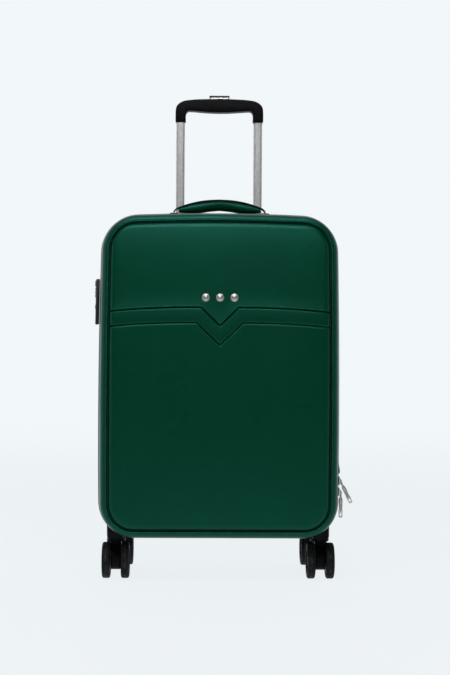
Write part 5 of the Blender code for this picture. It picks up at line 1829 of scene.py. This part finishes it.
@dataclass(frozen=True)
class Casters:
    """Four twin-wheel casters: moulded mounts, forks, axle caps, tyres and ribbed hubs."""

    shape: CaseShape = SHAPE
    trail: float = 0.015
    wheel_r: float = 0.0275
    wheel_w: float = 0.0125
    fork_half: float = 0.00775
    clear: float = 0.0005
    hub_r: float = 0.0141
    axle_r: float = 0.003
    disc_r: float = 0.0145
    disc_z: float = 0.0558
    mount_z: float = 0.0605
    mount_half_y: float = 0.02
    stem_r: float = 0.005
    stem_top: float = 0.066

    def mount_ring(self, side: int, y: float, shrink: float) -> Ring:
        """One section of a mount: its upper edge lies on the case's rounded corner."""
        shape = self.shape
        core = (shape.half_w - shape.corner, shape.base_z + shape.corner)
        reach = shape.corner + shape.swell(y) + GAP
        points = []
        for step in range(13):
            turn = math.radians(17.0 + 5.0 * shrink + (33.0 - 8.0 * shrink) * step / 12)
            x, z = shape.bent(core[0] + reach * math.sin(turn), core[1] - reach * math.cos(turn), y)
            points.append((x, z - GAP))
        first, last, low = points[0][0], points[-1][0], self.mount_z
        points += [(last - 0.0001, low + 0.0038), (last - 0.0009, low + 0.0014),
                   (last - 0.0022, low + 0.0004), (last - 0.0038, low), (first + 0.0022, low),
                   (first + 0.0008, low + 0.0004), (first, low + 0.0014)]
        return [(side * x, y, z) for x, z in points]

    def build_mount(self, name: str, side: int, axis_y: float) -> None:
        """The moulded block between the case's corner and the fork."""
        sections = []
        for share, shrink in ((-1.0, 1.3), (-0.985, 1.0), (-0.95, 0.65), (-0.86, 0.25), (-0.6, 0.05),
                              (0.0, 0.0), (0.6, 0.05), (0.86, 0.25), (0.95, 0.65), (0.985, 1.0), (1.0, 1.3)):
            sections.append(self.mount_ring(side, axis_y + share * self.mount_half_y, shrink))
        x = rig.box("caster_fork_" + name)
        middle = (x[0].x + x[1].x) / 2
        mount = make(f"corner_mount_{name}", loft(sections), 40)
        hole = prism(circle(middle, axis_y, self.stem_r + 0.0001, 24), 0.04, self.stem_top + GAP, "Z")
        cut(mount, [hole])
        dress(mount, "case", PLASTIC, "caster_mount_" + name)

    def build_fork(self, name: str, x: float, axis_y: float, trail: float) -> None:
        """The fork: a round disc under the mount, and a neck that runs down into the hub drum."""
        axle_y, lean = axis_y + trail, math.copysign(1.0, trail)
        top = self.disc_z + 0.001 - self.wheel_r
        drum = []
        for i in range(29):
            turn = math.radians(20.0 - 230.0 * i / 28)
            drum.append((self.hub_r * math.cos(turn), self.hub_r * math.sin(turn)))
        neck = [(-self.trail - 0.0108, top), (-self.trail + 0.0112, top), (-0.0005, 0.02), (0.0065, 0.015)]
        points = [(axle_y + lean * a, self.wheel_r + b) for a, b in neck + drum]
        fork = make(f"swivel_fork_{name}", prism(points, x - self.fork_half, x + self.fork_half, "X"))
        soften(fork, 0.0014, 3, 40)
        rise = self.mount_z - GAP
        rows = ((self.disc_r - 0.0014, self.disc_z - 0.0004), (self.disc_r - 0.0004, self.disc_z),
                (self.disc_r, self.disc_z + 0.001), (self.disc_r, rise - 0.0004),
                (self.disc_r - 0.0004, rise), (self.stem_r, rise), (self.stem_r, self.stem_top))
        disc = loft([level(circle(x, axis_y, radius, 32), z) for radius, z in rows])
        cut(fork, [disc], "UNION")
        bore = prism(circle(axle_y, self.wheel_r, self.axle_r + 0.0001, 20), x - 0.03, x + 0.03, "X")
        cut(fork, [bore])
        dress(fork, "caster_" + name, PLASTIC, "caster_fork_" + name)
        reach = self.fork_half + self.clear + self.wheel_w - 0.0018
        profile = [(-reach, 0.0), (-reach, 0.0022), (-reach + 0.0006, self.axle_r),
                   (reach - 0.0006, self.axle_r), (reach, 0.0022), (reach, 0.0)]
        axle = make(f"axle_pin_{name}", turned(profile, (x, axle_y, self.wheel_r), "X", 28), 40)
        dress(axle, "caster_" + name, STEEL_PIN, "axle_" + name)

    def build_wheel(self, name: str, x: float, axle_y: float, way: int, spots: RowTree) -> None:
        """One wheel: a tyre with two fine grooves, and a dished hub with ribs."""
        inner = self.fork_half + self.clear
        outer = inner + self.wheel_w
        r = self.wheel_r
        seat = r - 0.0075
        tyre = [(inner, seat), (inner, r - 0.0034), (inner + 0.0004, r - 0.0018),
                (inner + 0.0014, r - 0.0005), (inner + 0.0026, r - 0.0001), (inner + 0.0036, r),
                (inner + 0.0038, r - 0.0004), (inner + 0.0042, r - 0.0004), (inner + 0.0044, r),
                (outer - 0.0044, r), (outer - 0.0042, r - 0.0004), (outer - 0.0038, r - 0.0004),
                (outer - 0.0036, r), (outer - 0.0026, r - 0.0001), (outer - 0.0014, r - 0.0006),
                (outer - 0.0004, r - 0.002), (outer, r - 0.0038), (outer - 0.0003, seat + 0.0006),
                (outer - 0.001, seat)]
        centre = (x, axle_y, r)
        body = f"wheel_{name}"
        skin = turned([(way * a, b) for a, b in tyre], centre, "X", 56)
        dress(make(f"tyre_{name}", skin, 32), body, RUBBER, body)
        bore = self.axle_r + 0.0001
        hub = [(inner + 0.0006, bore), (inner + 0.0006, seat + 0.0003), (outer - 0.001, seat + 0.0003),
               (outer - 0.0007, seat - 0.0009), (outer - 0.0012, seat - 0.0019),
               (outer - 0.003, seat - 0.0026), (outer - 0.0034, 0.008), (outer - 0.003, 0.0066),
               (outer - 0.0014, 0.0061), (outer - 0.0013, bore)]
        skin = turned([(way * a, b) for a, b in hub], centre, "X", 48)
        dress(make(f"hub_{name}", skin, 32), body, PLASTIC)
        lines = []
        for i in range(6):
            turn = math.pi * i / 3
            spoke = Vector((0.0, math.cos(turn), math.sin(turn)))
            point = Vector(centre) + Vector((way * (outer - 0.0034), 0, 0)) + spoke * 0.0126
            lines.append(Line([tuple(point)], [(way, 0.0, 0.0, *spoke)]))
        rib = loft([[(a, b, z) for a, b in rounded(0.0, 0.0, 0.0096 - 2 * i, 0.0018 - 2 * i, 0.0004, 2)]
                    for z, i in ((-0.0006, 0.0), (0.001, 0.0), (0.0014, 0.0003))])
        spots.lay(f"hub_ribs_{name}", body, lines, rib, PLASTIC)

    def build(self, spots: RowTree) -> None:
        """Makes all four casters."""
        for end, trail in (("front", -self.trail), ("rear", self.trail)):
            for side, hand in SIDES:
                name = f"{end}_{hand}"
                low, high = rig.box("caster_mount_" + name)
                axis_y = (low.y + high.y) / 2
                low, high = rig.box("caster_fork_" + name)
                x = (low.x + high.x) / 2
                self.build_mount(name, side, axis_y)
                self.build_fork(name, x, axis_y, trail)
                for way, part in ((-1, "a"), (1, "b")):
                    self.build_wheel(f"{name}_{part}", x, axis_y + trail, way, spots)


# ---------------------------------------------------------------- inside


@dataclass(frozen=True)
class Inside:
    """What shows when the lid is open: quilted linings, the packing strap and its buckle."""

    shape: CaseShape = SHAPE
    quilt: float = 0.03
    puff: float = 0.0012
    wall: float = 0.006
    lid_wall: float = 0.005

    def lining(self, name: str, node: str, body: str, out: float, facing: int) -> None:
        """A quilted lining board.

        Args:
            name: the piece's name.
            node: the board's node.
            body: the body that it moves with.
            out: its edge's distance from the case's outline.
            facing: -1 if it faces the front, 1 if it faces the back.
        """
        low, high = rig.box(node)
        seen, hidden = (low.y, high.y) if facing < 0 else (high.y, low.y)
        shape = self.shape
        wide = shape.half_w + out
        top, base, radius = shape.top_z + out, shape.base_z - out, shape.corner + out
        fronts, backs = [], []
        fringe = [0.0, 0.0012, 0.003, 0.006, 0.01, 0.016, 0.024, 0.034, 0.046]
        low_rows = [base + d for d in fringe]
        high_rows = [top - d for d in reversed(fringe)]
        heights = low_rows + spread(base + 0.052, top - 0.052, 84) + high_rows
        for z in heights:
            over = min(radius, max(0.0, z - (top - radius), base + radius - z))
            half = wide - radius + math.sqrt(radius**2 - over**2)
            front = []
            for share in spread(-1.0, 1.0, 73):
                x = share * half
                inside = min(1.0, (half - abs(x)) / 0.012, (z - base) / 0.012, (top - z) / 0.012)
                one = abs(math.sin(math.pi * (x + z) / self.quilt))
                two = abs(math.sin(math.pi * (x - z) / self.quilt))
                rise = self.puff * (one * two) ** 0.4 * max(0.0, inside)
                px, pz = shape.bent(x, z, seen)
                front.append((px, seen - facing * (self.puff - rise), pz))
            fronts.append(front)
            backs.append([(px, hidden, pz) for px, _, pz in front])
        obj = make(name, plate(fronts, backs), 60)
        dress(obj, body, LINING, node)
        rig.padded(obj, fill=0.3)

    def build_strap(self, rows: RowTree) -> None:
        """The packing strap's webbing, and the stitches that hold its ends."""
        low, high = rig.box("packing_strap")
        mid_z, half = (low.z + high.z) / 2, (high.z - low.z) / 2
        section = [(low.y + 0.0002, -half * 0.97), (low.y, -half * 0.9), (low.y, half * 0.9),
                   (low.y + 0.0002, half * 0.97), (high.y, half), (high.y, -half)]
        rings = []
        for x in spread(low.x, high.x, 41):
            rings.append([(x, y, mid_z + z) for y, z in section])
        strap = make("packing_webbing", loft(rings), 50)
        dress(strap, "case", WEBBING, "packing_strap")
        lines = []
        for end in (-1, 1):
            x = end * (high.x - 0.012)
            points = [(x - 0.007, low.y, mid_z - 0.009), (x + 0.007, low.y, mid_z - 0.009),
                      (x + 0.007, low.y, mid_z + 0.009), (x - 0.007, low.y, mid_z + 0.009)]
            lines.append(Line(points, [(0, -1, 0)] * 4, True))
            lines.append(Line([points[0], points[2]], [(0, -1, 0)] * 2))
            lines.append(Line([points[1], points[3]], [(0, -1, 0)] * 2))
        rows.lay("webbing_stitches", "case", lines, stitch(0.0022, 0.0003), THREAD, 0.003, 0.1)

    def build_buckle(self) -> None:
        """A side-release buckle: a socket with side windows, and the prongs' plug below it."""
        low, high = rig.box("strap_buckle")
        mid_z = (low.z + high.z) / 2
        wide, tall, thick = high.x - low.x, high.z - low.z, high.y - low.y
        body = make("buckle_socket", prism(rounded(0.004, mid_z, wide - 0.008, tall, 0.005), low.y, high.y,
                                           "Y"))
        soften(body, 0.0014, 3)
        windows = []
        for way in (-1, 1):
            z = mid_z + way * tall / 2
            windows.append(block((-0.004, low.y - 0.01, min(z, z - way * 0.006)),
                                 (0.006, high.y + 0.01, max(z, z - way * 0.006))))
        windows.append(block((wide / 2 - 0.0055, low.y - 0.01, mid_z - 0.0128),
                             (wide / 2 - 0.0025, high.y + 0.01, mid_z + 0.0128)))
        cut(body, windows)
        dress(body, "case", PLASTIC, "strap_buckle")
        plug = make("buckle_plug", prism(rounded(-wide / 2 + 0.0065, mid_z, 0.013, tall * 0.94, 0.0035),
                                         low.y + 0.0004, high.y - 0.0004, "Y"))
        soften(plug, 0.001, 3)
        cut(plug, [block((-wide / 2 + 0.0025, low.y - 0.01, mid_z - 0.0128),
                         (-wide / 2 + 0.0055, high.y + 0.01, mid_z + 0.0128))])
        dress(plug, "case", PLASTIC)
        for way, name in ((-1, "low"), (1, "high")):
            z = mid_z + way * (tall / 2 - 0.0032)
            prong = make(f"buckle_prong_{name}", prism(rounded(0.001, z, 0.0098, 0.0046, 0.002),
                                                       low.y + thick * 0.2, high.y - thick * 0.2, "Y"))
            soften(prong, 0.0006, 2)
            dress(prong, "case", PLASTIC)

    def build(self, rows: RowTree) -> None:
        """Makes the inside."""
        shape = self.shape
        rear_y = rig.box("rear_lining")[1].y
        out = shape.swell(rear_y) - self.wall - 2 * GAP
        self.lining("quilted_back_lining", "rear_lining", "case", out, -1)
        self.lining("quilted_lid_lining", "front_board", "lid", -self.lid_wall - GAP, 1)
        self.build_strap(rows)
        self.build_buckle()


# ---------------------------------------------------------------- studio


@dataclass(frozen=True)
class Studio:
    """The pale floor and room, the lamps and the camera."""

    centre: Point = (0.0078, -0.104, 0.369)
    away: float = 2.31
    yaw: float = 1.1
    roll: float = 0.34
    lens: float = 81.8
    pale: Colour = (0.878, 0.918, 0.946)
    glow: float = 1.01
    near_glow: float = 0.905
    floor_glow: float = 0.962
    light: float = 0.915
    lit_from: float = -0.95
    wall_rise: tuple[float, float] = (0.2, 0.45)
    dim: float = 0.035
    floor_r: float = 9.0
    lamps: tuple = field(
        default=(
            ("overhead_box", (-0.1, -0.8, 1.6), (0.0, -0.1, 0.5), (1.0, 0.4), 12.0),
            ("front_box", (-0.1, -2.6, 1.42), (0.0, -0.1, 0.5), (1.4, 0.45), 11.0),
            ("left_box", (-1.7, -0.5, 0.9), (0.0, 0.0, 0.35), (0.5, 1.4), 5.0),
            ("right_box", (1.8, -0.4, 0.8), (0.0, 0.0, 0.3), (0.5, 1.4), 3.0),
        )
    )

    def build_floor(self) -> None:
        """A wide floor, dark in its own colour, that glows pale to the camera and brighter further out; its near part
        gives no light, so that the front stays deep in colour.
        """
        build = bmesh.new()
        build.faces.new([build.verts.new((x, y, 0.0)) for x, y in circle(0.0, 0.0, self.floor_r, 64)])
        mesh = bpy.data.meshes.new("pale_floor")
        build.to_mesh(mesh)
        build.free()
        floor = bpy.data.objects.new("pale_floor", mesh)
        bpy.context.scene.collection.objects.link(floor)
        board = Board("pale_paper")
        fine = board.cloud(board.place(False), 0.004)
        board.feed(board.shader.inputs["Base Color"],
                   board.blend(fine, (0.064, 0.065, 0.067), (0.058, 0.059, 0.061)))
        board.shader.inputs["Roughness"].default_value = 0.9
        board.shader.inputs["Specular IOR Level"].default_value = 0.1
        board.shader.inputs["Emission Color"].default_value = (*self.pale, 1.0)
        # To the camera the floor glows with painted light, from near_glow near the middle up to floor_glow four metres
        # out.
        away = board.node("ShaderNodeVectorMath", {0: board.place(False)}, 1, operation="LENGTH")
        shown = board.span(away, self.near_glow, self.floor_glow, 0.8, 4.0)
        depth = board.node("ShaderNodeSeparateXYZ", {0: board.place(False)}, 1)
        lit = board.span(depth, 0.0, self.light, self.lit_from - 0.01, self.lit_from + 0.01)
        seen = board.node("ShaderNodeLightPath", {}, "Is Camera Ray")
        strength = board.node("ShaderNodeMix", {"Factor": seen, "A": lit, "B": shown}, data_type="FLOAT")
        board.feed(board.shader.inputs["Emission Strength"], strength)
        mesh.materials.append(board.material)
        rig.stage(floor)

    def build_room(self) -> None:
        """A pale room to the eye, whose light comes from the wall behind."""
        world = bpy.data.worlds.new("room")
        world.use_nodes = True
        tree = world.node_tree
        paint = tree.nodes["Background"]
        paint.inputs["Color"].default_value = (*self.pale, 1.0)
        place = tree.nodes.new("ShaderNodeTexCoord")
        parts = tree.nodes.new("ShaderNodeSeparateXYZ")
        tree.links.new(place.outputs["Generated"], parts.inputs[0])
        wall = tree.nodes.new("ShaderNodeMapRange")
        names = ("From Min", "From Max", "To Min", "To Max")
        for name, value in zip(names, (*self.wall_rise, self.dim, self.light)):
            wall.inputs[name].default_value = value
        tree.links.new(parts.outputs["Y"], wall.inputs["Value"])
        seen = tree.nodes.new("ShaderNodeLightPath")
        mix = tree.nodes.new("ShaderNodeMix")
        mix.inputs["B"].default_value = self.glow
        tree.links.new(seen.outputs["Is Camera Ray"], mix.inputs["Factor"])
        tree.links.new(wall.outputs["Result"], mix.inputs["A"])
        tree.links.new(mix.outputs["Result"], paint.inputs["Strength"])
        bpy.context.scene.world = world

    def build_lamps(self) -> None:
        """Large soft boxes."""
        for name, at, to, size, power in self.lamps:
            lamp = bpy.data.lights.new(name, "AREA")
            lamp.shape = "RECTANGLE"
            lamp.size, lamp.size_y = size
            lamp.energy = power
            obj = bpy.data.objects.new(name, lamp)
            obj.location = at
            obj.rotation_euler = (Vector(to) - Vector(at)).to_track_quat("-Z", "Y").to_euler()
            bpy.context.scene.collection.objects.link(obj)

    def build_camera(self) -> None:
        """The camera, level, a little to the left of square."""
        lens = bpy.data.cameras.new("camera")
        lens.lens = self.lens
        lens.clip_end = 50.0
        obj = bpy.data.objects.new("camera", lens)
        turn = Matrix.Rotation(math.radians(-self.yaw), 4, "Z")
        place = Matrix.Translation(self.centre) @ turn @ Matrix.Translation((0.0, -self.away, 0.0))
        level_ = Matrix.Rotation(math.radians(90.0), 4, "X") @ Matrix.Rotation(math.radians(self.roll), 4,
                                                                               "Z")
        obj.matrix_world = place @ level_
        bpy.context.scene.collection.objects.link(obj)
        bpy.context.scene.camera = obj

    def build(self) -> None:
        """Makes the studio."""
        self.build_floor()
        self.build_room()
        self.build_lamps()
        self.build_camera()
        bpy.context.scene.view_settings.view_transform = "Standard"
        LOG.info("studio is set")


def main() -> None:
    """Makes the case from the shells outwards, then the studio, and writes both boxes."""
    logging.basicConfig(level=logging.INFO, format="%(message)s")
    rows, spots = RowTree(True), RowTree(False)
    Shells().build(rows)
    FrontPanels().build()
    Zip().build(rows)
    Trolley().build(spots)
    CarryHandle().build(rows, spots)
    Lock().build()
    Casters().build(spots)
    Inside().build(rows)
    Studio().build()
    boxes = {"cad": [list(corner) for corner in CAD_BOX], "visual": [list(corner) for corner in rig.bounds()]}
    with open(SIZE_FILE, "w", encoding="utf-8") as out:
        json.dump(boxes, out)


if __name__ == "__main__":
    main()
